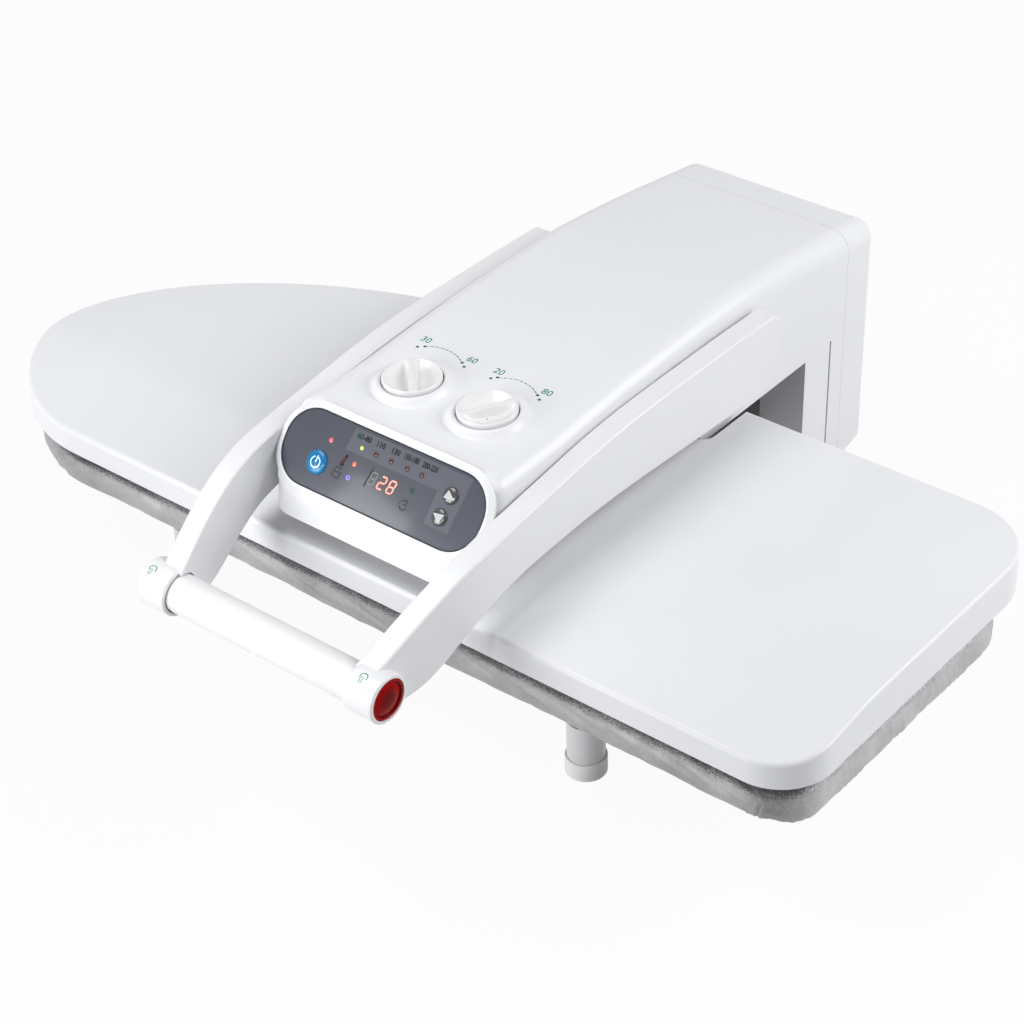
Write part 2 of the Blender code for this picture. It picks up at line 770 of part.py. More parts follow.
casing_bottom_z = casing_top_z - casing_height
casing = finish(lid(outline, casing_bottom_z, 0.0, casing_rim_radius), "plate_casing", white, 0.3)
inner_edge = inset(outline, casing_wall)
hollow = finish(lid(inner_edge, casing_bottom_z - casing_wall, casing_wall, casing_rim_radius - casing_wall),
                "casing_hollow", white, 0.3)
boolean(casing, hollow)
notch_front_y = rear_edge_y - notch_depth
notch_points = rounded_rectangle(2.0 * notch_half_width, 2.0 * notch_depth, notch_radius, 4)
notch = finish(slab([(head_x + x, rear_edge_y + y) for x, y in notch_points],
                    casing_bottom_z - casing_wall, casing_top_z + casing_wall), "casing_notch", white, 0.3)
boolean(casing, notch)
for number, (x, y) in enumerate(stud_places):
    hole = finish(place(rod(stud_radius + gap, casing_bottom_z, casing_top_z + casing_wall, 12),
                        shift(x, y, 0.0)),
                  "casing_stud_hole_%d" % number, white, 0.4)
    boolean(casing, hole)
smooth(casing, 30.0)
ride(casing, head_pivot)

# Heated plate with its rows of steam holes.
plate_edge = inset(outline, plate_inset)
plate_top_z = plate_bottom_z + plate_thickness
plate = finish(loft([[(x, y, plate_bottom_z) for x, y in plate_edge],
                     [(x, y, plate_top_z) for x, y in plate_edge]]), "heated_plate", (0.75, 0.76, 0.78), 0.3,
                     1.0)
field = steam_hole_field_shares
hole_front_y = front_edge_y + steam_hole_front_inset
hole_rear_y = rear_edge_y - notch_depth - plate_inset - steam_hole_clearance
drills = []
for row in range(steam_hole_rows):
    for column in range(steam_hole_columns):
        x = -half_length + board_length * (field[0] + (field[1] - field[0]) * column / (steam_hole_columns - 1))
        y = hole_front_y + (hole_rear_y - hole_front_y) * row / (steam_hole_rows - 1)
        drills.append(place(rod(steam_hole_radius, plate_bottom_z - plate_thickness,
                                plate_top_z + plate_thickness, 6),
                            shift(x, y, 0.0)))
drill = finish(merge(*drills), "steam_hole_drills", steel, 0.4)
boolean(plate, drill)
plate_notch = finish(slab([(head_x + x, rear_edge_y + y) for x, y in
                           rounded_rectangle(2.0 * (notch_half_width + plate_inset),
                                             2.0 * (notch_depth + plate_inset), notch_radius, 4)],
                          plate_bottom_z - plate_thickness, plate_top_z + plate_thickness), "plate_notch",
                          steel, 0.4)
boolean(plate, plate_notch)
ride(plate, head_pivot)

stud_names = ("front_left", "front_right", "rear_left", "rear_right")
for spot, (x, y) in zip(stud_names, stud_places):
    top = frame_seat_z + frame_plate + gap
    low = plate_top_z + gap
    stud = finish(lathe([(0.0, low), (stud_radius, low), (stud_radius, top), (stud_head_radius, top),
                         (stud_head_radius, top + stud_head_height), (0.0, top + stud_head_height)], 12),
                  spot + "_plate_stud", steel, 0.3, 1.0)
    stud.location = (x, y, 0.0)
    smooth(stud)
    ride(stud, head_pivot)

# Heating element, a bent tube that lies on the plate, and its thermostat.


def sweep(path, radius, sides=7):
    """A closed tube along a list of points."""
    rings = []
    count = len(path)
    for i in range(count):
        here = Vector(path[i])
        along = (Vector(path[min(i + 1, count - 1)]) - Vector(path[max(i - 1, 0)])).normalized()
        side = along.cross(Vector((0.0, 0.0, 1.0)))
        if side.length < 0.2:
            side = Vector((1.0, 0.0, 0.0))
        side.normalize()
        up = side.cross(along)
        rings.append([here + radius * (side * math.cos(b) + up * math.sin(b))
                      for b in (2.0 * math.pi * k / sides for k in range(sides))])
    return loft(rings)


element_z = plate_top_z + gap + element_radius
element_front_y = front_edge_y + element_front_share * board_depth
element_rear_y = front_edge_y + element_rear_share * board_depth
bend = (element_rear_y - element_front_y) / 2.0
element_right_x = half_length - element_end_share * board_length
element_left_x = -half_length + element_nose_share * board_length
route = [(head_x - 2.0 * stud_reach, element_rear_y)]
route += arc(element_left_x, element_rear_y - bend, bend, 90.0, 270.0, 10)
route += arc(element_right_x, element_rear_y - bend, bend, -90.0, 90.0, 10)
route.append((head_x + 2.0 * stud_reach, element_rear_y))
element = finish(sweep([(x, y, element_z) for x, y in route], element_radius), "heating_element", steel, 0.4,
                 1.0)
smooth(element, 60.0)
ride(element, head_pivot)

thermostat = finish(lathe([(0.0, plate_top_z + gap), (thermostat_radius, plate_top_z + gap),
                           (thermostat_radius, plate_top_z + 0.4 * thermostat_height),
                           (0.7 * thermostat_radius, plate_top_z + 0.5 * thermostat_height),
                           (0.7 * thermostat_radius, plate_top_z + thermostat_height),
                           (0.0, plate_top_z + thermostat_height)], 20), "thermostat", steel, 0.35, 1.0)
thermostat.location = (head_x, element_front_y + bend, 0.0)
smooth(thermostat)
ride(thermostat, head_pivot)

# Head cover: one moulded profile, hollowed, then parted at the seam into the main and the rear cover.
roof_points = [(cover_front_y + along * cover_length, roof_peak_z - down * roof_drop_height)
               for along, down in roof_shares]
cover_profile = [(panel_low_y, panel_low_z), (panel_top_y, panel_top_z)] + roof_points
cover_profile += [(cover_rear_y, column_rear_bottom_z), (column_chamfer_y, column_bottom_z),
                  (column_front_y, column_bottom_z), (column_front_y, cover_waist_z),
                  (cover_waist_y, cover_waist_z), (cover_waist_y, cover_skirt_z),
                  (cover_front_y, cover_skirt_z)]
last_roof = 1 + len(roof_points)
side_radii = [slope_edge_radius] + [roof_edge_radius] * len(roof_points) + [rear_edge_radius]
side_radii += [0.0] * 6 + [skirt_edge_radius]
cross_radii = [panel_edge_radius, panel_edge_radius] + [0.0] * (len(roof_points) - 1) + [rear_edge_radius]
cross_radii += [0.0] * 7


def cover_half_width(y):
    """Half the cover's width, which narrows a little towards the rear."""
    share = (y - cover_front_y) / cover_length
    return cover_half_width_front + (cover_half_width_rear - cover_half_width_front) * share


def moulding(name, profile, wall):
    """A solid on a side profile, with a fillet of its own on each edge."""
    bm = loft([[(head_x - cover_half_width(y) + wall, y, z) for y, z in profile],
               [(head_x + cover_half_width(y) - wall, y, z) for y, z in profile]])
    weights = bm.edges.layers.float.new("bevel_weight_edge")
    count = len(profile)
    bm.verts.ensure_lookup_table()
    index = {vert: i for i, vert in enumerate(bm.verts)}
    for edge in bm.edges:
        i, j = sorted(index[vert] for vert in edge.verts)
        if j - i == count:
            radius = cross_radii[i]
        else:
            i, j = i % count, j % count
            radius = side_radii[max(i, j) if {i, j} == {0, count - 1} else min(i, j)]
        edge[weights] = max(radius - wall, 0.0) / skirt_edge_radius
    made = finish(bm, name, white, 0.3)
    step = made.modifiers.new("edges", "BEVEL")
    step.width = skirt_edge_radius
    step.segments = cover_edge_steps
    step.limit_method = "WEIGHT"
    step.use_clamp_overlap = False
    return made


def hollow_profile():
    """The inside of the cover, open below."""
    inner = inset(cover_profile, -cover_wall)
    floor_z = column_bottom_z - overrun
    inner = inner[:last_roof + 1]
    inner.append((cover_rear_y - cover_wall, floor_z))
    inner.append((column_chamfer_y, floor_z))
    inner.append((column_front_y + cover_wall, floor_z))
    inner.append((column_front_y + cover_wall, cover_waist_z - cover_wall))
    inner.append((column_front_y - overrun, cover_waist_z - cover_wall))
    inner.append((cover_front_y + cover_wall, cover_waist_z - cover_wall))
    inner.append(inset(cover_profile, -cover_wall)[-1])
    return inner


def cover_shell(name):
    """The whole cover as one open shell."""
    shell = moulding(name, cover_profile, 0.0)
    boolean(shell, moulding(name + "_hollow", hollow_profile(), cover_wall))
    return shell


seam_y = cover_rear_y - cover_seam_depth
half_gap = gap / 2.0
wide = cover_half_width_front + overrun
high = roof_peak_z + overrun
low = column_bottom_z - 2.0 * overrun
cover = cover_shell("head_cover")
boolean(cover, finish(box((head_x - wide, seam_y - half_gap, low),
                          (head_x + wide, cover_rear_y + overrun, high)),
                      "rear_cut", white, 0.3))
rear_cover = cover_shell("rear_cover")
boolean(rear_cover, finish(box((head_x - wide, cover_front_y - overrun, low),
                               (head_x + wide, seam_y + half_gap, high)),
                           "front_cut", white, 0.3))
boolean(cover, finish(box((head_x - return_half_width, column_front_y - overrun, low),
                          (head_x + return_half_width, column_front_y + cover_wall + overrun, cover_waist_z)),
                      "column_opening", white, 0.3))
for side in (-1.0, 1.0):
    inner_x = head_x + side * (cover_half_width(slot_y) - 2.0 * cover_wall)
    outer_x = head_x + side * (cover_half_width(slot_y) + overrun)
    boolean(cover, finish(box((min(inner_x, outer_x), slot_y - slot_width / 2.0, low),
                              (max(inner_x, outer_x), slot_y + slot_width / 2.0, slot_top_z)),
                          "side_slot", white, 0.3))
bush_bore = finish(place(rod(bush_radius + gap, -wide, wide, 24),
                         shift(head_x, arm_pivot_y, arm_pivot_z) @ along_x), "bush_bore", white, 0.3)
boolean(cover, bush_bore)

# Panel: a raised rim on the slope, a window behind it, and everything set in the slope's own axes.
slope_angle = math.atan2(panel_top_z - panel_low_z, panel_top_y - panel_low_y)
panel_y = panel_low_y + panel_centre_share * (panel_top_y - panel_low_y)
panel_z = panel_low_z + panel_centre_share * (panel_top_z - panel_low_z)
panel_frame = shift(head_x, panel_y, panel_z) @ Matrix.Rotation(slope_angle, 4, "X")


def on_panel(bm, name, colour, roughness, metallic=0.0):
    """Finishes a piece whose origin lies on the panel's plane."""
    made = finish(bm, name, colour, roughness, metallic)
    made.matrix_world = panel_frame
    return made


rim = on_panel(slab(rounded_rectangle(lens_length + 2.0 * bezel_rim, lens_height + 2.0 * bezel_rim,
                                      lens_radius + bezel_rim), -bezel_root, bezel_proud), "panel_rim", white,
                                      0.3)
bevel(rim, bezel_proud / 2.0, 2)
boolean(cover, rim, "UNION")
boolean(cover, on_panel(slab(rounded_rectangle(lens_length + 2.0 * gap, lens_height + 2.0 * gap,
                                               lens_radius + gap),
                             0.0, bezel_proud + overrun), "lens_recess", white, 0.3))
boolean(cover, on_panel(slab(rounded_rectangle(window_length, window_height, window_radius, 3),
                             -overrun, bezel_proud), "panel_window", white, 0.3))

lens = on_panel(slab(rounded_rectangle(lens_length, lens_height, lens_radius), gap, gap + lens_thickness),
                "panel_lens", (0.09, 0.10, 0.125), 0.12)
window_end = window_length / 2.0
buttons = (("power_button", power_end_inset - window_end, power_height_share, power_button_radius,
            (0.02, 0.25, 0.55)),
           ("up_button", window_end - up_end_inset, up_height_share, arrow_button_radius, (0.04, 0.04, 0.05)),
           ("down_button", window_end - down_end_inset, down_height_share, arrow_button_radius,
            (0.04, 0.04, 0.05)))
lens_top = gap + lens_thickness
for name, u, v, radius, colour in buttons:
    centre = panel_frame @ shift(u, v * lens_height, 0.0)
    hole = finish(rod(radius + gap, -overrun, lens_top + overrun, 20), name + "_hole", colour, 0.3)
    hole.matrix_world = centre
    boolean(lens, hole)
    flange = radius + button_flange
    points = [(0.0, -button_flange), (flange, -button_flange), (flange, 0.0), (radius, 0.0)]
    points += [(radius * share, lens_top + button_height * up) for share, up in button_dome_shares]
    button = finish(lathe(points, 20), name, colour, 0.25)
    button.matrix_world = centre
    smooth(button, 50.0)
    ride(button, head_pivot)
ride(lens, head_pivot)

board_top = -cover_wall - gap
lamps = []
for u, v in lamp_place_shares:
    lamps.append(place(rod(led_radius, board_top - board_thickness / 2.0, 0.0, 8),
                       shift(u * lens_length, v * lens_height, 0.0)))
board = on_panel(slab(rounded_rectangle(window_length + 2.0 * board_margin,
                                        window_height + 2.0 * board_margin,
                                        board_margin, 3), board_top - board_thickness, board_top),
                 "control_board", (0.05, 0.25, 0.12), 0.5)
boolean(board, on_panel(merge(*lamps), "lamps", (0.8, 0.8, 0.8), 0.3), "UNION")
ride(board, head_pivot)
u, v = display_place_shares
display = on_panel(place(slab(rounded_rectangle(display_width, display_height, display_height / 10.0, 2),
                              board_top + gap, 0.0), shift(u * lens_length, v * lens_height, 0.0)),
                   "display_module", (0.02, 0.02, 0.025), 0.4)
ride(display, head_pivot)

# Temperature and timer dials: moulded collars on the roof, knobs in their wells, controls below.


def roof_z(y):
    """Height of the roof between the points of its profile."""
    points = [(panel_top_y, panel_top_z)] + roof_points
    for (y0, z0), (y1, z1) in zip(points, points[1:]):
        if y0 <= y <= y1:
            return z0 + (z1 - z0) * (y - y0) / (y1 - y0)
    return points[-1][1]


roof_front, roof_rear = roof_z(knob_y - collar_base_radius), roof_z(knob_y + collar_base_radius)
roof_tilt = math.atan2(roof_rear - roof_front, 2.0 * collar_base_radius)
well_radius = knob_radius + knob_clearance
knob_seat = collar_wall + gap
bores = []
for side, name, turn in ((-1.0, "left", left_knob_turn), (1.0, "right", right_knob_turn)):
    centre = shift(head_x + side * knob_spacing / 2.0, knob_y, roof_z(knob_y))
    centre = centre @ Matrix.Rotation(roof_tilt, 4, "X")
    flank = collar_base_radius - collar_top_radius
    points = [(0.0, -cover_wall / 2.0), (collar_base_radius, -cover_wall / 2.0)]
    points += [(collar_top_radius + flank * out, collar_height * up) for out, up in collar_flank_shares]
    points += [(well_radius, collar_height), (well_radius, collar_wall), (0.0, collar_wall)]
    collar = finish(lathe(points, collar_sides), name + "_collar", white, 0.3)
    collar.matrix_world = centre
    boolean(cover, collar, "UNION")
    bores.append(place(rod(shaft_radius + gap, -overrun, overrun, 16), centre))

    points = [(0.0, knob_seat), (knob_radius, knob_seat)]
    points += [(knob_radius * out, knob_seat + knob_height * up) for out, up in knob_edge_shares]
    knob = finish(lathe(points, knob_sides), name + "_knob", white, 0.3)
    for half in (0.0, 180.0):
        reach = knob_radius * knob_scoop_share
        start = math.degrees(math.asin(knob_rib_width / 2.0 / reach))
        scoop = arc(0.0, 0.0, reach, start + half, 180.0 - start + half, 10)
        cut = finish(slab(scoop, knob_seat + knob_height - knob_scoop_depth,
                          knob_seat + knob_height + overrun),
                     name + "_scoop", white, 0.3)
        bevel(cut, knob_scoop_depth * 0.6, 1)
        cut.matrix_world = centre @ Matrix.Rotation(math.radians(turn), 4, "Z")
        boolean(knob, cut)
    stem = finish(rod(shaft_radius, -cover_wall - control_height / 2.0, knob_seat + knob_height / 2.0, 16),
                  name + "_stem", steel, 0.3)
    stem.matrix_world = centre
    boolean(knob, stem, "UNION")
    knob.matrix_world = centre @ Matrix.Rotation(math.radians(turn), 4, "Z")
    smooth(knob, 40.0)
    ride(knob, head_pivot)

    top = -cover_wall - control_clearance
    control = finish(lathe([(0.0, top - control_height), (control_radius, top - control_height),
                            (control_radius, top), (shaft_radius + gap, top),
                            (shaft_radius + gap, top - 0.6 * control_height),
                            (0.0, top - 0.6 * control_height)], 20),
                     name + "_dial_control", black_steel, 0.5)
    control.matrix_world = centre
    smooth(control)
    ride(control, head_pivot)
boolean(cover, finish(merge(*bores), "dial_bores", white, 0.3))
smooth(cover, 30.0)
ride(cover, head_pivot)

# Rear cover, with its four screws into the frame's flange and the gland where the supply enters.
boolean(rear_cover, screw_bore)
gland_place = shift(head_x + gland_offset, cover_rear_y, gland_z) @ along_y
boolean(rear_cover, finish(place(rod(gland_radius + gap, -overrun, overrun, 20), gland_place), "gland_bore",
                           white, 0.3))
smooth(rear_cover, 30.0)
ride(rear_cover, head_pivot)
gland = finish(lathe([(gland_bore, gap - gland_length), (gland_radius, gap - gland_length),
                      (gland_radius, gap),
                      (gland_flange_radius, gap), (gland_flange_radius, 0.6 * gland_flange),
                      (0.8 * gland_radius, gland_flange), (gland_bore, gland_flange)], 20, closed=True),
               "cord_gland", black_steel, 0.6)
gland.matrix_world = gland_place
smooth(gland)
ride(gland, head_pivot)
screw_names = ("lower_left", "lower_right", "upper_left", "upper_right")
for spot, (x, z) in zip(screw_names, screw_places):
    screw = finish(lathe([(0.0, -screw_length), (screw_radius, -screw_length), (screw_radius, gap),
                          (screw_head_radius, gap), (screw_head_radius, 0.5 * screw_head_height),
                          (0.7 * screw_head_radius, screw_head_height), (0.0, screw_head_height)], 12),
                   spot + "_rear_screw", steel, 0.3, 1.0)
    screw.matrix_world = shift(x, cover_rear_y, z) @ along_y
    smooth(screw)
    ride(screw, head_pivot)

# Water tank between the frame's side plates, with the pump under it and the hose to the plate.
tank_half = ear_inner - gap
tank_middle_y = tank_front_y + tank_depth / 2.0
neck_top = frame_top_z - 2.0 * frame_plate - gap
plan = rounded_rectangle(2.0 * tank_half, tank_depth, tank_radius, 3)
cavity = rounded_rectangle(2.0 * (tank_half - tank_wall), tank_depth - 2.0 * tank_wall,
                           tank_radius - tank_wall, 3)
tank = finish(slab(plan, 0.0, tank_height), "water_tank", (0.75, 0.8, 0.85), 0.25)
neck = finish(rod(tank_neck_radius, tank_height - tank_wall / 2.0, neck_top - tank_low_z, 20), "tank_neck",
              white, 0.3)
hollow = finish(slab(cavity, tank_wall, tank_height - tank_wall), "tank_cavity", white, 0.3)
mouth = finish(rod(tank_neck_radius - tank_wall, tank_height - 2.0 * tank_wall,
                   neck_top - tank_low_z + overrun, 20),
               "tank_mouth", white, 0.3)
for piece in (tank, neck, hollow, mouth):
    piece.location = (head_x, tank_middle_y, tank_low_z)
boolean(tank, neck, "UNION")
boolean(tank, hollow)
boolean(tank, mouth)
smooth(tank, 50.0)
ride(tank, head_pivot)

pump_y = tank_middle_y
pump_z = tank_low_z - gap - pump_radius
half = pump_length / 2.0
pump = finish(place(lathe([(0.0, -half), (0.6 * pump_radius, -half), (0.6 * pump_radius, -0.7 * half),
                           (pump_radius, -0.7 * half), (pump_radius, 0.7 * half),
                           (0.6 * pump_radius, 0.7 * half),
                           (0.6 * pump_radius, half), (0.0, half)], 24), along_x), "water_pump", black_steel,
                           0.5)
pump.location = (head_x, pump_y, pump_z)
smooth(pump)
ride(pump, head_pivot)

hose_start = (pump_y - pump_radius - gap, pump_z)
hose_run_z = casing_top_z - hose_radius / 2.0
hose_bend = 0.5 * notch_depth
hose_low_z = plate_top_z + 3.0 * hose_radius
hose_high = (notch_front_y + 1.5 * hose_bend, hose_run_z)
hose_low = (notch_front_y + hose_radius, hose_low_z)
hose_end = (notch_front_y - hose_bend, plate_top_z + gap)
hose_rise_y = tank_front_y - 2.0 * hose_radius
hose_path = [hose_start, (tank_front_y, pump_z)]
hose_path += bezier((tank_front_y, pump_z), (hose_rise_y, pump_z), (hose_rise_y, hose_run_z),
                    (hose_rise_y - 4.0 * hose_radius, hose_run_z), 6)
hose_path.append(hose_high)
hose_path += bezier(hose_high, (hose_high[0] - 0.5 * hose_bend, hose_run_z),
                    (hose_low[0] + 0.5 * hose_bend, hose_low_z), hose_low, 6)
hose_path += bezier(hose_low, (hose_end[0] + hose_radius, hose_low_z), (hose_end[0], hose_low_z), hose_end, 6)
hose = finish(sweep([(head_x + stud_reach / 3.0, y, z) for y, z in hose_path], hose_radius), "steam_hose",
              (0.85, 0.85, 0.85), 0.5)
smooth(hose, 80.0)
ride(hose, head_pivot)

# Hinge bushes between the bracket's ears and the frame's.
for side, name in ((-1.0, "left_hinge_bush"), (1.0, "right_hinge_bush")):
    bush = finish(place(tube(hinge_pin_radius + gap, pin_head_radius, gap, ear_gap - gap, 20),
                        Matrix.Rotation(math.radians(90.0 * side), 4, "Y")), name, (0.7, 0.55, 0.3), 0.4, 1.0)
    bush.location = (head_x + side * bracket_half_width, hinge_y, hinge_z)
    smooth(bush)
    ride(bush, head_pivot)

# Lever handle: arms that taper and curve in to the hubs, on a shaft through the head.
arm_length = arm_pivot_y - hub_y
arm_inner = arm_half_width - arm_thickness


def arm_outer(y):
    """Half the handle's width, which curves in towards the hubs."""
    reach = max(0.0, (arm_bend_y - y) / (arm_bend_y - hub_y))
    return arm_hub_half_width + (arm_half_width - arm_hub_half_width) * (1.0 - reach ** arm_bend_power)


def arm_ring(side, y, top, low):
    """One rounded cross-section of an arm."""
    middle = (top + low) / 2.0
    radius = min(arm_edge_radius, 0.4 * (top - low))
    centre = arm_outer(y) - arm_thickness / 2.0
    return [(head_x + side * (centre + u), y, middle + v)
            for u, v in rounded_rectangle(arm_thickness, top - low, radius, 2)]


cover_side = cover_half_width(arm_pivot_y)
shaft_half = arm_inner + handle_shaft_socket - gap
bore_floor = hub_half_width - steam_bore_depth
button_back = hub_half_width - steam_button_recess - steam_button_length
for side, name in ((-1.0, "left"), (1.0, "right")):
    out = Matrix.Rotation(math.radians(90.0 * side), 4, "Y")
    rings = []
    for along, top, low in arm_shares:
        rings.append(arm_ring(side, hub_y + along * arm_length, arm_top_z - top * arm_drop_height,
                              arm_top_z - low * arm_drop_height))
    for turn in eye_angles:
        a = math.radians(turn)
        up = arm_eye_radius * math.cos(a)
        rings.append(arm_ring(side, arm_pivot_y + arm_eye_reach * math.sin(a), arm_pivot_z + up,
                              arm_pivot_z - up))
    arm = finish(loft(rings), name + "_arm", white, 0.3)
    soft = arm_edge_radius / 2.0
    hub_low = hub_half_width - hub_length
    hub = finish(place(lathe([(0.0, hub_low), (hub_radius - soft, hub_low), (hub_radius, hub_low + soft),
                              (hub_radius, hub_half_width - soft), (hub_radius - soft, hub_half_width),
                              (0.0, hub_half_width)], hub_sides), shift(head_x, hub_y, hub_z) @ out),
                 name + "_hub", white, 0.3)
    boolean(arm, hub, "UNION")
    for tool, inner, outer, y, z in (
            ("button_bore", steam_button_radius + gap, (bore_floor, hub_half_width + overrun), hub_y, hub_z),
            ("grip_socket", grip_radius + gap, (hub_low - overrun, hub_low + grip_socket), hub_y, hub_z),
            ("rod_bore", rod_radius + gap, (hub_low, hub_half_width), hub_y, hub_z),
            ("shaft_socket", handle_shaft_radius + gap,
             (arm_inner - overrun, arm_inner + handle_shaft_socket),
             arm_pivot_y, arm_pivot_z)):
        cut = finish(place(rod(inner, *outer, bore_sides), shift(head_x, y, z) @ out), name + "_" + tool,
                     white, 0.3)
        boolean(arm, cut)
    smooth(arm, 50.0)
    ride(arm, handle_pivot)

    spread = steam_button_length
    points = [(0.0, 0.0), (steam_button_radius, 0.0)]
    points += [(steam_button_radius * out_share, spread * up) for out_share, up in steam_button_shares]
    button = finish(place(lathe(points, 24), out), name + "_steam_button", (0.55, 0.015, 0.012), 0.25)
    button.location = (head_x + side * button_back, hub_y, hub_z)
    smooth(button, 40.0)
    ride(button, handle_pivot)

    start = bore_floor + gap + return_spring_wire_radius
    length = button_back - gap - return_spring_wire_radius - start
    spring = finish(place(coil(return_spring_radius, return_spring_wire_radius, length, return_spring_turns),
                          out),
                    name + "_button_spring", steel, 0.3, 1.0)
    spring.location = (head_x + side * start, hub_y, hub_z)
    smooth(spring, 80.0)
    ride(spring, handle_pivot)

    bush = finish(place(lathe([(handle_shaft_radius + gap, cover_side - 2.0 * cover_wall),
                               (bush_radius, cover_side - 2.0 * cover_wall), (bush_radius, cover_side + gap),
                               (bush_flange_radius, cover_side + gap), (bush_flange_radius, arm_inner - gap),
                               (handle_shaft_radius + gap, arm_inner - gap)], 24, closed=True), out),
                  name + "_shaft_bush", (0.12, 0.12, 0.13), 0.5)
    bush.location = (head_x, arm_pivot_y, arm_pivot_z)
    smooth(bush)
    ride(bush, head_pivot)

shaft = finish(place(rod(handle_shaft_radius, -shaft_half, shaft_half, 24), along_x), "handle_shaft", steel,
               0.25, 1.0)
shaft.location = (head_x, arm_pivot_y, arm_pivot_z)
smooth(shaft)
ride(shaft, handle_pivot)
grip_half = hub_half_width - hub_length + grip_socket - gap
grip = finish(place(tube(grip_radius - grip_wall, grip_radius, -grip_half, grip_half, 28), along_x),
              "grip_bar",
              white, 0.35)
grip.location = (head_x, hub_y, hub_z)
smooth(grip)
ride(grip, handle_pivot)
rod_half = bore_floor - gap
tie = finish(place(rod(rod_radius, -rod_half, rod_half, 20), along_x), "handle_rod", steel, 0.3, 1.0)
tie.location = (head_x, hub_y, hub_z)
smooth(tie)
ride(tie, handle_pivot)
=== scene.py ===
"""Looks of the steam ironing press: finishes, fine shells, the board's cloth and the panel's graphics."""
import math

import bmesh
import bpy
import numpy as np
from mathutils import Matrix, Vector, noise


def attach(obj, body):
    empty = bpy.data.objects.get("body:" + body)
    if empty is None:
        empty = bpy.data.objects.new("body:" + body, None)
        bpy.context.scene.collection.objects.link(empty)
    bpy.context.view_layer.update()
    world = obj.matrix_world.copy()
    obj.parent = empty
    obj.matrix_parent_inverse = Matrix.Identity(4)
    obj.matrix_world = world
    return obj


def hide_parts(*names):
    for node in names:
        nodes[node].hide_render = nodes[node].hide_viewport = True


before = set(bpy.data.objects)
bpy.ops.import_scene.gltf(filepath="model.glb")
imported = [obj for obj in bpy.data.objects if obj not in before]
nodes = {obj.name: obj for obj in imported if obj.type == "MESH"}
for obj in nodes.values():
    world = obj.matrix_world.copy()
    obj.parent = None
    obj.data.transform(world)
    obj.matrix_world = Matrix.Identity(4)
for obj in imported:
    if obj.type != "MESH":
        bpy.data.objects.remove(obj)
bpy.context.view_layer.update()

# Sizes shared with the part, in metres.
MM = 0.001
GAP = 0.0003
PAST = 0.010
INK = 0.00006
HEAD_X = 0.030
HALF_LENGTH = 0.410
LENGTH = 2.0 * HALF_LENGTH
FRONT_Y = -0.205
REAR_Y = 0.130
DEPTH = REAR_Y - FRONT_Y
FRONT_CORNER = 0.043
REAR_CORNER = 0.060
NOSE_TIP = 0.3135
NOSE_START = 0.146
NOSE_END = 0.43
NOSE_FRONT_PULL = (0.071, 0.15)
NOSE_REAR_PULL = (0.615, 0.204)
CORNER_STEPS = 14
NOSE_STEPS = 22

CASING_TOP = 0.150
CASING_LOW = 0.116
CASING_DROP = 0.013
CASING_SLOPE = 0.088
CASING_FOLD = 0.012
CASING_WALL = 0.0025
CASING_RIM = 0.0035
CASING_RIM_STEPS = 7
CASING_EDGE = 0.0006
CASING_TOP_FOLD = FRONT_Y + CASING_SLOPE
FOLD_CUT_SHARES = (-3.0, -1.5, -0.8, -0.35, 0.0, 0.35, 0.8, 1.5, 3.0)
STUD_HOLE = 0.0043
NOTCH = (0.109, 0.058, 0.012)
STUDS = tuple((HEAD_X + side * 0.062, y) for y in (-0.112, 0.024) for side in (-1.0, 1.0))

PAD_LOW = 0.080
PAD_HIGH = 0.1107
PAD_INSET = 0.003
PAD_LEFT_INSET = 0.008
PAD_REAR_INSET = 0.026
PAD_POCKET_INSET = 0.016
PAD_POCKET = 0.0033
PAD_VOXEL = 0.0055
PAD_CAP = 0.0015
PAD_BAND = 0.014
TUCKS = ((0.0100, 0.0016, 0.8, 0.100, 0.25), (0.0170, 0.0013, 0.5, 0.091, -0.3),
         (-0.0030, 0.0014, 0.5, 0.094, 0.2))

COVER_FRONT = -0.2063
COVER_REAR = 0.3305
COVER_LENGTH = COVER_REAR - COVER_FRONT
COVER_HALF = 0.0995
COVER_TAPER = 0.0040
COVER_WALL = 0.0025
SEAM_Y = COVER_REAR - 0.040
SKIRT_Z = 0.1597
WAIST = (0.080, 0.139)
COLUMN_FRONT = 0.232
COLUMN_LOW = 0.008
COLUMN_REAR_LOW = 0.021
COLUMN_CHAMFER = 0.283
PANEL_LOW = (-0.2036, 0.1819)
PANEL_TOP = (-0.1616, 0.2372)
ROOF_PEAK = 0.2490
ROOF_DROP = 0.0210
ROOF = ((0.165, 0.555), (0.217, 0.49), (0.28, 0.355), (0.40, 0.145), (0.52, 0.04), (0.63, 0.0),
        (0.70, 0.105), (0.78, 0.29), (0.87, 0.565), (1.0, 1.0))
ROOF_EDGE = 0.018
SKIRT_EDGE = 0.024
REAR_EDGE = 0.008
SLOPE_EDGE = 0.014
PANEL_EDGE = 0.006
COVER_EDGE_STEPS = 9
RETURN_HALF = 0.053
SLOT = (0.0022, 0.270, 0.141)
SHAFT_BORE = 0.0118
SCREW_BORE = 0.0021
SCREW_SPREAD = 0.034
SCREW_LEVELS = (0.160, 0.192)
GLAND_BORE = 0.0073
GLAND_PLACE = (0.060, 0.045)
SEAM_LOW = 0.222
SEAM_EDGE = 0.0003

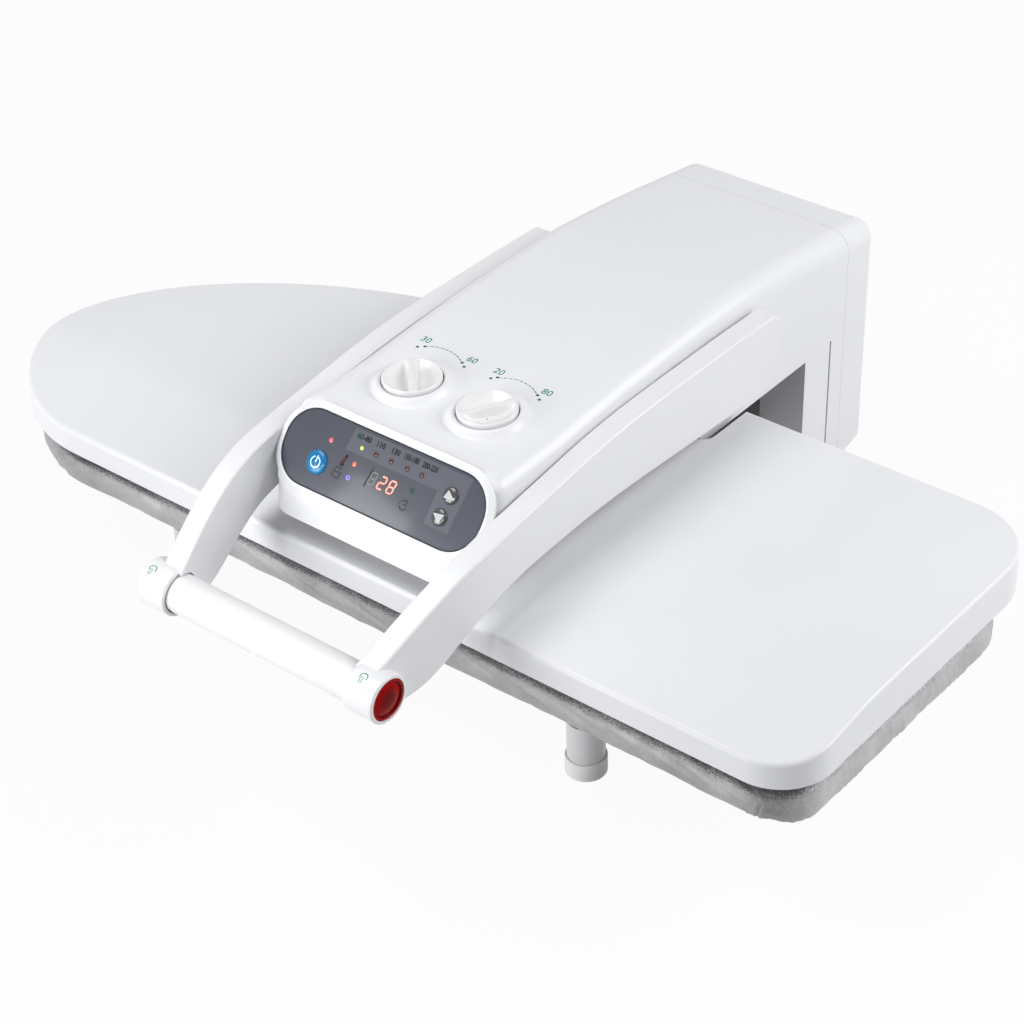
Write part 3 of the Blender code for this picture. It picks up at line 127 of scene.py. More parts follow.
LENS = (0.190, 0.059, 0.027)
LENS_THICK = 0.0015
LENS_EDGE = 0.0004
BEZEL_RIM = 0.0048
BEZEL_PROUD = 0.0022
BEZEL_ROOT = 0.0020
BEZEL_SECTION = ((0.0014, -BEZEL_ROOT), (0.0012, 0.0), (0.0002, 0.0004), (-0.0008, 0.0010), (-0.0018, 0.0016),
                 (-0.0027, 0.0020), (-0.0036, BEZEL_PROUD))
WINDOW = (0.143, 0.039, 0.010)
PANEL_SHARE = 0.52
BUTTON_RISE = 0.0024
BUTTON_FLANGE = 0.0012
DOME_SHARES = ((1.0, 0.2), (0.96, 0.38), (0.88, 0.58), (0.70, 0.80), (0.45, 0.93), (0.22, 0.985), (0.0, 1.0))
POWER_PLACE = (-0.0590, -0.144 * LENS[1], 0.0093)
UP_PLACE = (0.0620, 0.161 * LENS[1], 0.0068)
DOWN_PLACE = (0.0595, -0.136 * LENS[1], 0.0068)

KNOB_SPREAD = 0.0363
KNOB_Y = -0.1040
KNOB_RADIUS = 0.0232
KNOB_HEIGHT = 0.0075
KNOB_TURNS = (-47.7, 56.5)
KNOB_EDGE = (0.0016, 0.0018)
KNOB_RINGS = 26
KNOB_STEM = (0.0030, 0.006)
KNOB_PLAY = 0.0008
WELL_EDGE = 0.0006
DIAL_BORE = 0.0033
RIB_WAIST_SHARE = 0.085
RIB_FLARE_SHARE = 0.05
RIB_WALL_SHARE = 0.10
SCOOP_DEPTH = 0.0066
SCOOP_SHARE = 0.93
SCOOP_POWER = 2.8
COLLAR_BASE = 0.0355
COLLAR_TOP = 0.0262
COLLAR_HEIGHT = 0.0058
COLLAR_WALL = 0.0014
COLLAR_FLANK = ((1.0, 0.0), (0.86, 0.03), (0.72, 0.10), (0.58, 0.21), (0.46, 0.36), (0.35, 0.54),
                (0.24, 0.74), (0.16, 0.87), (0.08, 0.95), (0.04, 0.985), (0.0, 1.0))

PIVOT = (0.145, 0.200)
EYE_RADIUS = 0.033
EYE_REACH = 0.0165
EYE_STEPS = (0.0, 9.0, 18.0, 27.0, 36.0, 44.0, 52.0, 59.0, 66.0, 72.0, 78.0, 82.0, 86.0)
ARM_HALF = 0.120
ARM_HUB_HALF = 0.1035
ARM_THICK = 0.0190
ARM_INNER = 0.1035
BUSH_RECESS = 0.015
ARM_BEND_Y = -0.202
ARM_BEND_POWER = 1.6
ARM_EDGE = 0.0022
ARM_TOP = 0.234
ARM_DROP = 0.090
ARM = ((0.0, 0.80, 1.205), (0.02, 0.744, 1.208), (0.04, 0.677, 1.20), (0.0857, 0.538, 1.155),
       (0.125, 0.435, 1.065), (0.17, 0.335, 0.935), (0.225, 0.257, 0.805), (0.30, 0.19, 0.713),
       (0.40, 0.123, 0.668), (0.51, 0.05, 0.645), (0.62, 0.01, 0.655), (0.76, 0.0, 0.689), (0.905, 0.0, 0.722))
HUB = (-0.310, 0.144)
HUB_RADIUS = 0.0190
HUB_HALF = 0.1140
HUB_LENGTH = 0.0265
HUB_EDGE = 0.0016
GRIP = (0.0127, 0.0152)
GRIP_SOCKET = 0.005
GRIP_GAP = 0.0010
ROD_RADIUS = 0.0060
SHAFT_RADIUS = 0.0070
SHAFT_SOCKET = 0.010
STEAM_RADIUS = 0.0160
STEAM_LENGTH = 0.0075
STEAM_RECESS = 0.0005
STEAM_BORE = 0.0170
BORE_EDGE = 0.0005
STEAM_FACE_SHARES = ((1.0, 0.90), (0.985, 0.97), (0.95, 1.0), (0.90, 1.0), (0.865, 0.95), (0.84, 0.86),
                     (0.80, 0.84), (0.74, 0.90), (0.62, 1.00), (0.42, 1.09), (0.20, 1.13), (0.0, 1.14))

LEG_RADIUS = 0.0150
LEG_CAP = (0.0162, 0.0155, 0.0055)
FOOT_EDGE = 0.0014
LEG_TOP = 0.0494
LEGS = {"front_right": (0.194, -0.154), "front_left": (-0.215, -0.154), "rear_right": (0.194, 0.063),
        "rear_left": (-0.160, 0.063)}

# Photograph's camera.
CAMERA_PLACE = Vector((1.08091, -1.29290, 1.26262))
CAMERA_YAW = math.radians(39.9)
CAMERA_PITCH = math.radians(35.4)
CAMERA_ROLL = math.radians(1.63)
CAMERA_LENS = 89.58
SENSOR = 36.0


# Mesh kit

def arc(cx, cy, radius, start, end, steps):
    """Points of a circular arc, angles in degrees."""
    angles = [math.radians(start + (end - start) * i / steps) for i in range(steps + 1)]
    return [(cx + radius * math.cos(a), cy + radius * math.sin(a)) for a in angles]


def bezier(a, b, c, d, steps):
    """Points of a cubic curve, without its first point."""
    points = []
    for i in range(1, steps + 1):
        t = i / steps
        s = 1.0 - t
        points.append(tuple(s ** 3 * a[k] + 3 * s * s * t * b[k] + 3 * s * t * t * c[k] + t ** 3 * d[k]
                            for k in (0, 1)))
    return points


def through(points, steps):
    """A smooth line through points of any number of values, with steps between each two."""
    made = []
    last = len(points) - 1
    for i in range(last):
        p = [points[max(0, min(last, i + k))] for k in (-1, 0, 1, 2)]
        for j in range(steps):
            t = j / steps
            made.append(tuple(0.5 * (2 * b + (c - a) * t + (2 * a - 5 * b + 4 * c - d) * t * t
                                     + (3 * b - a - 3 * c + d) * t ** 3) for a, b, c, d in zip(*p)))
    made.append(tuple(points[last]))
    return made


def board_outline():
    """The plan outline of the plate casing, anticlockwise from the front right corner."""
    left, right = -HALF_LENGTH, HALF_LENGTH
    tip = (left, FRONT_Y + NOSE_TIP * DEPTH)
    start = (left + NOSE_START * LENGTH, FRONT_Y)
    end = (left + NOSE_END * LENGTH, REAR_Y)
    points = arc(right - FRONT_CORNER, FRONT_Y + FRONT_CORNER, FRONT_CORNER, -90.0, 0.0, CORNER_STEPS)
    points += arc(right - REAR_CORNER, REAR_Y - REAR_CORNER, REAR_CORNER, 0.0, 90.0, CORNER_STEPS)
    points.append(end)
    points += bezier(end, (left + NOSE_REAR_PULL[1] * LENGTH, REAR_Y),
                     (left, FRONT_Y + NOSE_REAR_PULL[0] * DEPTH), tip, NOSE_STEPS + 6)
    points += bezier(tip, (left, FRONT_Y + NOSE_FRONT_PULL[1] * DEPTH),
                     (left + NOSE_FRONT_PULL[0] * LENGTH, FRONT_Y), start, NOSE_STEPS)
    return points


def inset(points, distance):
    """Moves every side of an anticlockwise outline inwards."""
    moved = []
    count = len(points)
    for i in range(count):
        before, here, after = Vector(points[i - 1]), Vector(points[i]), Vector(points[(i + 1) % count])
        first = (here - before).normalized()
        second = (after - here).normalized()
        n1 = Vector((-first.y, first.x))
        n2 = Vector((-second.y, second.x))
        across = (n1 + n2).normalized()
        moved.append(tuple(here + across * distance / max(across.dot(n1), 0.5)))
    return moved


def loft(rings, caps=True):
    """Skins a list of equal rings of points."""
    bm = bmesh.new()
    made = [[bm.verts.new(p) for p in ring] for ring in rings]
    for low, high in zip(made, made[1:]):
        for i in range(len(low)):
            j = (i + 1) % len(low)
            bm.faces.new((low[i], low[j], high[j], high[i]))
    if caps:
        bm.faces.new(list(reversed(made[0])))
        bm.faces.new(made[-1])
    return bm


def slab(points, low, high):
    """A prism standing on a plan outline."""
    return loft([[(x, y, low) for x, y in points], [(x, y, high) for x, y in points]])


def box(low, high):
    """A block between two corners."""
    return slab([(low[0], low[1]), (high[0], low[1]), (high[0], high[1]), (low[0], high[1])], low[2], high[2])


def lathe(profile, segments, closed=False):
    """Turns (radius, height) points about Z. A closed profile makes a ring."""
    bm = bmesh.new()
    rings = []
    for radius, height in profile:
        count = segments if radius > 0.0 else 1
        angles = [2.0 * math.pi * i / segments for i in range(count)]
        rings.append([bm.verts.new((radius * math.cos(a), radius * math.sin(a), height)) for a in angles])
    pairs = list(zip(rings, rings[1:])) + ([(rings[-1], rings[0])] if closed else [])
    for low, high in pairs:
        for i in range(segments):
            j = (i + 1) % segments
            if len(low) == 1 and len(high) > 1:
                bm.faces.new((low[0], high[j], high[i]))
            elif len(high) == 1 and len(low) > 1:
                bm.faces.new((low[i], low[j], high[0]))
            elif len(low) > 1:
                bm.faces.new((low[i], low[j], high[j], high[i]))
    if not closed:
        for ring in (rings[0], rings[-1]):
            if len(ring) > 1:
                bm.faces.new(ring)
    return bm


def rod(radius, low, high, segments=64):
    """A plain cylinder about Z."""
    return lathe([(radius, low), (radius, high)], segments)


def rounded_rectangle(width, height, radius, steps=12):
    """An anticlockwise outline about the origin."""
    points = []
    w, h = width / 2.0 - radius, height / 2.0 - radius
    for cx, cy, start in ((w, h, 0.0), (-w, h, 90.0), (-w, -h, 180.0), (w, -h, 270.0)):
        points += arc(cx, cy, radius, start, start + 90.0, steps)
    return points


def place(bm, matrix):
    """Moves a bmesh."""
    bmesh.ops.transform(bm, matrix=matrix, verts=bm.verts)
    return bm


def shift(x, y, z):
    """A translation matrix."""
    return Matrix.Translation((x, y, z))


def turn(degrees, axis):
    """A rotation matrix."""
    return Matrix.Rotation(math.radians(degrees), 4, axis)


def merge(*parts):
    """Puts several bmeshes into the first one."""
    for other in parts[1:]:
        mesh = bpy.data.meshes.new("joining")
        other.to_mesh(mesh)
        other.free()
        parts[0].from_mesh(mesh)
        bpy.data.meshes.remove(mesh)
    return parts[0]


def rods(radius, low, high, frames, segments):
    """Equal cylinders, one in each frame."""
    return merge(*(place(rod(radius, low, high, segments), where) for where in frames))


def add_object(name, data):
    """Puts a new object into the scene."""
    made = bpy.data.objects.new(name, data)
    bpy.context.scene.collection.objects.link(made)
    return made


def to_object(name, bm):
    """Turns a bmesh into an object."""
    bmesh.ops.recalc_face_normals(bm, faces=bm.faces)
    mesh = bpy.data.meshes.new(name)
    bm.to_mesh(mesh)
    bm.free()
    return add_object(name, mesh)


def evaluated(made):
    """A new mesh of an object as its modifiers make it."""
    bpy.context.view_layer.update()
    return bpy.data.meshes.new_from_object(made.evaluated_get(bpy.context.evaluated_depsgraph_get()))


def bake(made, *tools):
    """Applies an object's modifiers and removes the tools that they used."""
    mesh = evaluated(made)
    made.modifiers.clear()
    made.data = mesh
    for tool in tools:
        bpy.data.objects.remove(tool, do_unlink=True)
    return made


def boolean(target, tool, operation="DIFFERENCE"):
    """Cuts or joins a bmesh or an object with an exact Boolean, at once."""
    if isinstance(tool, bmesh.types.BMesh):
        tool = to_object("tool", tool)
    step = target.modifiers.new("boolean", "BOOLEAN")
    step.operation = operation
    step.solver = "EXACT"
    step.object = tool
    return bake(target, tool)


def soften(made, test, width, segments=2):
    """Rounds the edges that pass a test of their two ends."""
    bm = bmesh.new()
    bm.from_mesh(made.data)
    edges = [edge for edge in bm.edges if len(edge.link_faces) == 2 and edge.calc_face_angle(0.0) > 0.6
             and test(edge.verts[0].co, edge.verts[1].co)]
    bmesh.ops.bevel(bm, geom=edges, offset=width, segments=segments, profile=0.5, affect="EDGES",
                    clamp_overlap=True)
    bm.to_mesh(made.data)
    bm.free()
    return made


def dress(made, finish, body, *replaced, angle=32.0):
    """Shades an object, gives it its finish and hands it to its body."""
    bm = bmesh.new()
    bm.from_mesh(made.data)
    for face in bm.faces:
        face.smooth = True
    for edge in bm.edges:
        edge.smooth = len(edge.link_faces) == 2 and edge.calc_face_angle(0.0) < math.radians(angle)
    bm.to_mesh(made.data)
    bm.free()
    step = made.modifiers.new("even shading", "WEIGHTED_NORMAL")
    step.keep_sharp = True
    step.weight = 60
    made.data.materials.clear()
    made.data.materials.append(finish)
    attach(made, body)
    if replaced:
        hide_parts(*replaced)
    return made


def piece(name, bm, finish, body, *replaced, angle=32.0):
    """Makes a bmesh into a finished piece of a body."""
    return dress(to_object(name, bm), finish, body, *replaced, angle=angle)


# Shader kit

class Value:
    """A number socket that can be used in Python sums and products."""

    def __init__(self, finish, socket):
        self.finish = finish
        self.socket = socket

    def __add__(self, other):
        return self.finish.maths("ADD", self, other)

    def __sub__(self, other):
        return self.finish.maths("SUBTRACT", self, other)

    def __rsub__(self, other):
        return self.finish.maths("SUBTRACT", other, self)

    def __mul__(self, other):
        return self.finish.maths("MULTIPLY", self, other)

    def __truediv__(self, other):
        return self.finish.maths("DIVIDE", self, other)

    def __pow__(self, other):
        return self.finish.maths("POWER", self, other)

    def clamp(self):
        """Keeps the value between zero and one."""
        return self.finish.maths("MINIMUM", self.finish.maths("MAXIMUM", self, 0.0), 1.0)

    def wave(self):
        """The sine of the value."""
        return self.finish.maths("SINE", self)

    def size(self):
        """The value without its sign."""
        return self.finish.maths("ABSOLUTE", self)

    __radd__ = __add__
    __rmul__ = __mul__


class Nodes:
    """A node tree under construction."""

    def __init__(self, tree):
        self.tree = tree

    def node(self, kind, settings, sockets, output=0):
        """Adds a node with its settings and its sockets, by name or number, and returns one output."""
        made = self.tree.nodes.new(kind)
        for key, value in settings.items():
            setattr(made, key, value)
        for key, value in sockets.items():
            self.feed(made.inputs[key], value)
        return Value(self, made.outputs[output]) if made.outputs else None

    def feed(self, socket, value):
        """Links or sets a socket."""
        if isinstance(value, Value):
            self.tree.links.new(value.socket, socket)
        elif socket.type == "RGBA":
            socket.default_value = (*value, 1.0)
        else:
            socket.default_value = value

    def maths(self, operation, *terms):
        """One Math node."""
        return self.node("ShaderNodeMath", {"operation": operation}, dict(enumerate(terms)))


class Finish(Nodes):
    """A material under construction, with its Principled shader."""

    def __init__(self, name):
        self.material = bpy.data.materials.new(name)
        self.material.use_nodes = True
        super().__init__(self.material.node_tree)
        self.shader = self.tree.nodes["Principled BSDF"]

    def coordinates(self):
        """Object coordinates."""
        return self.node("ShaderNodeTexCoord", {}, {}, "Object")

    def place(self, scale=(1.0, 1.0, 1.0)):
        """Object coordinates, scaled."""
        return self.node("ShaderNodeMapping", {}, {"Vector": self.coordinates(), "Scale": scale})

    def along(self, number):
        """One of the three object coordinates."""
        return self.node("ShaderNodeSeparateXYZ", {}, {"Vector": self.coordinates()}, number)

    def noise(self, scale, detail=3.0, rough=0.5, where=None):
        """A noise value about one half."""
        return self.node("ShaderNodeTexNoise", {}, {"Vector": where or self.place(), "Scale": scale,
                                                     "Detail": detail, "Roughness": rough})

    def blend(self, factor, low, high):
        """Mixes two colours."""
        return self.node("ShaderNodeMix", {"data_type": "RGBA"}, {0: factor, 6: low, 7: high}, 2)

    def ramp(self, factor, low, high):
        """Zero below one value, one above another, straight between."""
        return self.node("ShaderNodeMapRange", {"clamp": True}, {"Value": factor, "From Min": low,
                                                                 "From Max": high})

    def bump(self, height, strength, distance):
        """Feeds a height into the shader's normal."""
        self.set(Normal=self.node("ShaderNodeBump", {}, {"Height": height, "Strength": strength,
                                                         "Distance": distance}))

    def set(self, **sockets):
        """Sets the shader's own sockets."""
        for key, value in sockets.items():
            self.feed(self.shader.inputs[key.replace("_", " ")], value)
        return self


# Materials

def plastic(name, colour, roughness, coat=0.0, grain=0.10, shade=0.955):
    """Moulded plastic: a faint orange peel, a fine grain, small changes of tone and gloss."""
    finish = Finish(name)
    cloud = finish.noise(9.0, 2.0)
    peel = finish.noise(170.0, 2.0)
    fine = finish.noise(2600.0, 1.0)
    finish.set(Base_Color=finish.blend(cloud, tuple(c * shade for c in colour), colour),
               Roughness=(cloud - 0.5) * 0.08 + (fine - 0.5) * 0.07 + roughness,
               IOR=1.47, Coat_Weight=coat, Coat_Roughness=0.06)
    finish.bump(peel * 0.75 + fine * 0.25, grain, 0.0004)
    return finish.material


def steel(name, colour, roughness, stretch=(1.0, 1.0, 1.0), lines=0.12):
    """Bare or plated steel with drawn lines, small stains and changes of gloss."""
    finish = Finish(name)
    drawn = finish.noise(700.0, 3.0, where=finish.place(stretch))
    cloud = finish.noise(38.0, 4.0, 0.6)
    finish.set(Base_Color=finish.blend(cloud, tuple(c * 0.7 for c in colour), colour), Metallic=1.0,
               Roughness=(drawn - 0.5) * 0.25 + (cloud - 0.5) * 0.18 + roughness)
    finish.bump(drawn, lines, 0.0002)
    return finish.material


def powder_coat():
    """Black powder coat, a little dusty, with its fine pebbled surface."""
    finish = Finish("black powder coat")
    grain = finish.noise(1400.0, 2.0)
    cloud = finish.noise(22.0, 4.0)
    finish.set(Base_Color=finish.blend(cloud, (0.016, 0.016, 0.018), (0.04, 0.04, 0.043)),
               Roughness=(grain - 0.5) * 0.25 + (cloud - 0.5) * 0.2 + 0.46)
    finish.bump(grain, 0.35, 0.0003)
    return finish.material


def rubber(name, colour):
    """Soft rubber or silicone: dull, with a little bloom."""
    finish = Finish(name)
    bloom = finish.noise(55.0, 4.0, 0.6)
    fine = finish.noise(1900.0, 1.0)
    finish.set(Base_Color=finish.blend(bloom, colour, tuple(c * 1.25 + 0.02 for c in colour)),
               Roughness=(bloom - 0.5) * 0.25 + 0.6, Sheen_Weight=0.12, Sheen_Roughness=0.5)
    finish.bump(fine, 0.2, 0.0002)
    return finish.material


def plate_metal():
    """Cast aluminium sole with a ground face."""
    finish = Finish("ground aluminium")
    ground = finish.noise(420.0, 3.0, where=finish.place((0.06, 1.0, 1.0)))
    cloud = finish.noise(14.0, 3.0)
    finish.set(Base_Color=finish.blend(cloud, (0.60, 0.61, 0.62), (0.78, 0.79, 0.80)), Metallic=1.0,
               Roughness=(ground - 0.5) * 0.3 + (cloud - 0.5) * 0.15 + 0.33)
    finish.bump(ground, 0.18, 0.0002)
    return finish.material


def circuit_board():
    """Green solder mask with copper tracks that show as paler lines."""
    finish = Finish("circuit board")
    cells = finish.node("ShaderNodeTexVoronoi", {"feature": "DISTANCE_TO_EDGE", "distance": "MANHATTAN"},
                        {"Vector": finish.place((1.0, 1.6, 1.6)), "Scale": 260.0})
    track = 1.0 - finish.ramp(cells, 0.02, 0.05)
    fine = finish.noise(900.0, 2.0)
    finish.set(Base_Color=finish.blend(track * 0.8, (0.012, 0.10, 0.04), (0.06, 0.26, 0.11)),
               Roughness=(fine - 0.5) * 0.2 + 0.38)
    finish.bump(track, 0.2, 0.0001)
    return finish.material


def frosted_tank():
    """Milky moulded tank with a faint water-line stain."""
    finish = Finish("milky tank plastic")
    cloud = finish.noise(26.0, 3.0)
    height = finish.along(2)
    stain = (1.0 - finish.ramp((height - 0.185).size(), 0.0008, 0.003)) * 0.5
    fine = finish.noise(1500.0, 1.0)
    finish.set(Base_Color=finish.blend((cloud * 0.5 + stain).clamp(), (0.74, 0.79, 0.83), (0.60, 0.66, 0.70)),
               Roughness=(fine - 0.5) * 0.1 + (cloud - 0.5) * 0.15 + 0.42, Subsurface_Weight=0.1)
    finish.bump(fine, 0.1, 0.0002)
    return finish.material


def silver_cloth():
    """Heat-proof silver-grey cloth: a fine plain weave with small slubs, dull folds and a soft sheen, with
    painted light and shade by place.
    """
    finish = Finish("silver-grey cloth")
    across = (finish.along(0) * 5200.0 + finish.noise(90.0, 2.0) * 5.0).wave()
    down = (finish.along(1) * 5200.0 + finish.noise(70.0, 2.0) * 5.0).wave()
    rise = (finish.along(2) * 5200.0).wave()
    weave = (across * down + across * rise + down * rise) * 0.16 + 0.5
    slub = finish.noise(520.0, 3.0, 0.65)
    cloud = finish.noise(22.0, 4.0, 0.65)
    # Painted shade: a dark speckled band round the cloth's upper edge, just under the casing's lip.
    shoulder = finish.ramp(finish.along(2) + (finish.noise(45.0, 2.0) - 0.5) * 0.003, 0.1020, 0.1045)
    shoulder = shoulder * (1.0 - finish.ramp(finish.along(2), 0.1068, 0.1085))
    speck = finish.ramp(finish.noise(700.0, 2.0, 0.7), 0.46, 0.62)
    # Painted light and shade: lighter at the right end and away from the nose, darker round the front right
    # corner.
    lit_right_end = finish.ramp(finish.along(0), 0.380, 0.398)
    lit_past_nose = finish.ramp(finish.along(0), -0.36, -0.20)
    shaded = finish.ramp(finish.along(0), 0.35, 0.385) * (1.0 - finish.ramp(finish.along(1), -0.20, -0.165))
    tone = weave * 0.2 + slub * 0.5 + cloud * 0.8 - 0.37
    tone = tone + (lit_right_end * 0.22 + lit_past_nose * 0.12) - shaded * 0.35 + shoulder * (speck * 0.5 - 0.45)
    tone = tone.clamp() * 0.82 + 0.18
    finish.set(Base_Color=finish.blend(tone, (0.05, 0.05, 0.053), (0.62, 0.62, 0.63)),
               Roughness=(slub - 0.5) * 0.3 + 0.52, Metallic=(tone * 0.3 + 0.05).clamp(),
               Sheen_Weight=0.35, Sheen_Roughness=0.35, Sheen_Tint=(0.9, 0.9, 0.92))
    finish.bump(weave * 0.35 + slub * 0.65, 0.5, 0.0005)
    return finish.material


def slate_lens(name, dark, pale_slate):
    """Glossy slate-grey lens with faint dust, paler along its lower edge by a painted reflection."""
    finish = Finish(name)
    cloud = finish.noise(12.0, 2.0)
    dust = finish.ramp(finish.noise(1300.0, 1.0), 0.70, 0.82)
    up = finish.along(2)
    # Painted reflection: a paler band along the lens's lower edge.
    pale = (1.0 - finish.ramp((up - 0.187).size(), 0.0, 0.010)) * 0.35
    finish.set(Base_Color=finish.blend((pale + cloud * 0.25 + dust * 0.1).clamp(), dark, pale_slate),
               Roughness=(cloud - 0.5) * 0.05 + dust * 0.2 + 0.16, Coat_Weight=0.6, Coat_Roughness=0.05)
    finish.bump(finish.noise(60.0, 2.0), 0.05, 0.0003)
    return finish.material


def print_ink(name, colour, roughness=0.5, gloss=0.5):
    """Printed ink with slightly uneven cover."""
    finish = Finish(name)
    cover = finish.noise(1100.0, 2.0)
    finish.set(Base_Color=finish.blend(cover, tuple(c * 0.8 for c in colour), colour),
               Roughness=(cover - 0.5) * 0.2 + roughness, Specular_IOR_Level=gloss)
    finish.bump(cover, 0.1, 0.0001)
    return finish.material


def glow(name, colour, strength, base=None):
    """A lamp's lens, brighter in its middle grain."""
    finish = Finish(name)
    grain = finish.noise(900.0, 1.0)
    finish.set(Base_Color=finish.blend(grain, tuple(c * 0.6 for c in (base or colour)), base or colour),
               Roughness=(grain - 0.5) * 0.1 + 0.2, Emission_Strength=strength, Coat_Weight=0.5,
               Emission_Color=finish.blend(grain, tuple(c * 0.8 for c in colour), colour))
    return finish.material


def steam_red():
    """Clear red plastic that is darker where it is thick, with painted shade in its groove."""
    finish = Finish("clear red plastic")
    cloud = finish.noise(80.0, 3.0)
    fine = finish.noise(1800.0, 1.0)
    far = finish.maths("SQRT", (finish.along(1) - HUB[0]) ** 2.0 + (finish.along(2) - HUB[1]) ** 2.0)
    # Painted shade: a dark ring in the groove round the face; the rest of the factor is thickness and cloud.
    groove_shade = 1.0 - finish.ramp((far - 0.84 * STEAM_RADIUS).size(), 0.0003, 0.0011)
    dish = finish.ramp(far, 0.30 * STEAM_RADIUS, 0.80 * STEAM_RADIUS)
    thin = (dish * 0.7 + cloud * 0.2 - groove_shade * 0.8).clamp()
    finish.set(Base_Color=finish.blend(thin, (0.10, 0.0002, 0.0004), (0.46, 0.0030, 0.0050)),
               Roughness=(fine - 0.5) * 0.08 + 0.22, Specular_IOR_Level=0.05)
    finish.bump(cloud, 0.06, 0.0003)
    return finish.material


def blue_button():
    """Blue button, deeper towards its top, with a gloss coat."""
    finish = Finish("blue button plastic")
    cloud = finish.noise(70.0, 2.0)
    lift = finish.ramp(finish.along(2), 0.194, 0.206)
    # Deeper blue towards the top, with a little cloud; the glow is stronger lower down.
    deeper_upwards = (lift * 0.85 + cloud * 0.15).clamp()
    finish.set(Base_Color=finish.blend(deeper_upwards, (0.01, 0.24, 0.48), (0.0, 0.13, 0.32)),
               Emission_Color=finish.blend(lift, (0.0, 0.22, 0.45), (0.0, 0.12, 0.32)),
               Emission_Strength=0.25, Specular_IOR_Level=0.3,
               Roughness=(cloud - 0.5) * 0.08 + 0.2, Coat_Weight=0.2, Coat_Roughness=0.05)
    finish.bump(cloud, 0.05, 0.0003)
    return finish.material


shell_white = plastic("white shell plastic", (0.84, 0.846, 0.872), 0.34)
arm_white = plastic("white arm plastic", (0.84, 0.843, 0.860), 0.30, coat=0.15)
grip_white = plastic("white grip plastic", (0.83, 0.83, 0.835), 0.40, grain=0.2)
knob_white = plastic("white knob plastic", (0.84, 0.84, 0.845), 0.26, coat=0.25)
leg_white = plastic("white leg paint", (0.70, 0.70, 0.71), 0.33)
cap_white = plastic("white foot rubber", (0.86, 0.86, 0.86), 0.55, grain=0.3)
dark_glossy = plastic("dark button plastic", (0.045, 0.045, 0.052), 0.2, coat=0.7)
black_matte = plastic("black moulded nylon", (0.03, 0.03, 0.034), 0.52, grain=0.3, shade=0.7)
cloth = silver_cloth()
green_ink = print_ink("green ink", (0.0, 0.26, 0.15))
dark_ink = print_ink("dark ink", (0.012, 0.013, 0.018), gloss=0.1)
white_ink = print_ink("white ink", (0.80, 0.82, 0.84))
grey_ink = print_ink("grey ink", (0.60, 0.62, 0.66))

# Finishes of the frame's own pieces.
zinc = steel("zinc plated steel", (0.60, 0.61, 0.62), 0.32)
spring_steel = steel("spring steel", (0.45, 0.46, 0.48), 0.26, lines=0.2)
bright = steel("bright turned steel", (0.68, 0.68, 0.69), 0.2, stretch=(1.0, 0.1, 0.1))
coat_black = powder_coat()
carried = {
    coat_black: ("front_cross_bar", "rear_cross_bar", "left_long_bar", "right_long_bar", "hinge_bracket"),
    zinc: ("board_panel", "head_frame", "thermostat"),
    bright: ("hinge_pin", "handle_shaft", "handle_rod", *(spot + "_plate_stud" for spot in LEGS),
             "lower_left_rear_screw", "lower_right_rear_screw",
             "upper_left_rear_screw", "upper_right_rear_screw"),
    spring_steel: ("left_lift_spring", "right_lift_spring", "left_button_spring", "right_button_spring",
                   "heating_element"),
    plate_metal(): ("heated_plate",),
    circuit_board(): ("control_board",),
    frosted_tank(): ("water_tank",),
    black_matte: ("display_module", "left_dial_control", "right_dial_control", "water_pump",
                  "left_shaft_bush", "right_shaft_bush"),
    rubber("black gland rubber", (0.03, 0.03, 0.032)): ("cord_gland",),
    rubber("clear silicone hose", (0.62, 0.62, 0.60)): ("steam_hose",),
    steel("sintered bronze", (0.55, 0.38, 0.18), 0.45, lines=0.05): ("left_hinge_bush", "right_hinge_bush"),
}
for finish, names in carried.items():
    for name in names:
        nodes[name].data.materials.clear()
        nodes[name].data.materials.append(finish)


# Plate casing

def casing_fall(y):
    """How far the lid's top has fallen at y; the fold is rounded over a short band."""
    past = CASING_TOP_FOLD - y
    eased = 0.5 * (past + math.sqrt(past * past + CASING_FOLD * CASING_FOLD))
    return CASING_DROP * eased / CASING_SLOPE


def lid(points, low, depth, rim):
    """The lid's solid: straight sides, a rounded rim and a top that slopes down to the front."""
    rings = [[(x, y, low) for x, y in points]]
    for i in range(CASING_RIM_STEPS + 1):
        a = math.pi / 2.0 * i / CASING_RIM_STEPS
        rings.append([(x, y, CASING_TOP - depth - rim * (1.0 - math.sin(a)))
                      for x, y in inset(points, rim * (1.0 - math.cos(a)))])
    bm = loft(rings)
    for share in FOLD_CUT_SHARES:
        fold = (0.0, CASING_TOP_FOLD + share * CASING_FOLD, 0.0)
        bmesh.ops.bisect_plane(bm, geom=bm.verts[:] + bm.edges[:] + bm.faces[:], plane_co=fold,
                               plane_no=(0.0, 1.0, 0.0))
    for vert in bm.verts:
        if vert.co.z > low + GAP:
            vert.co.z -= casing_fall(vert.co.y)
    return bm


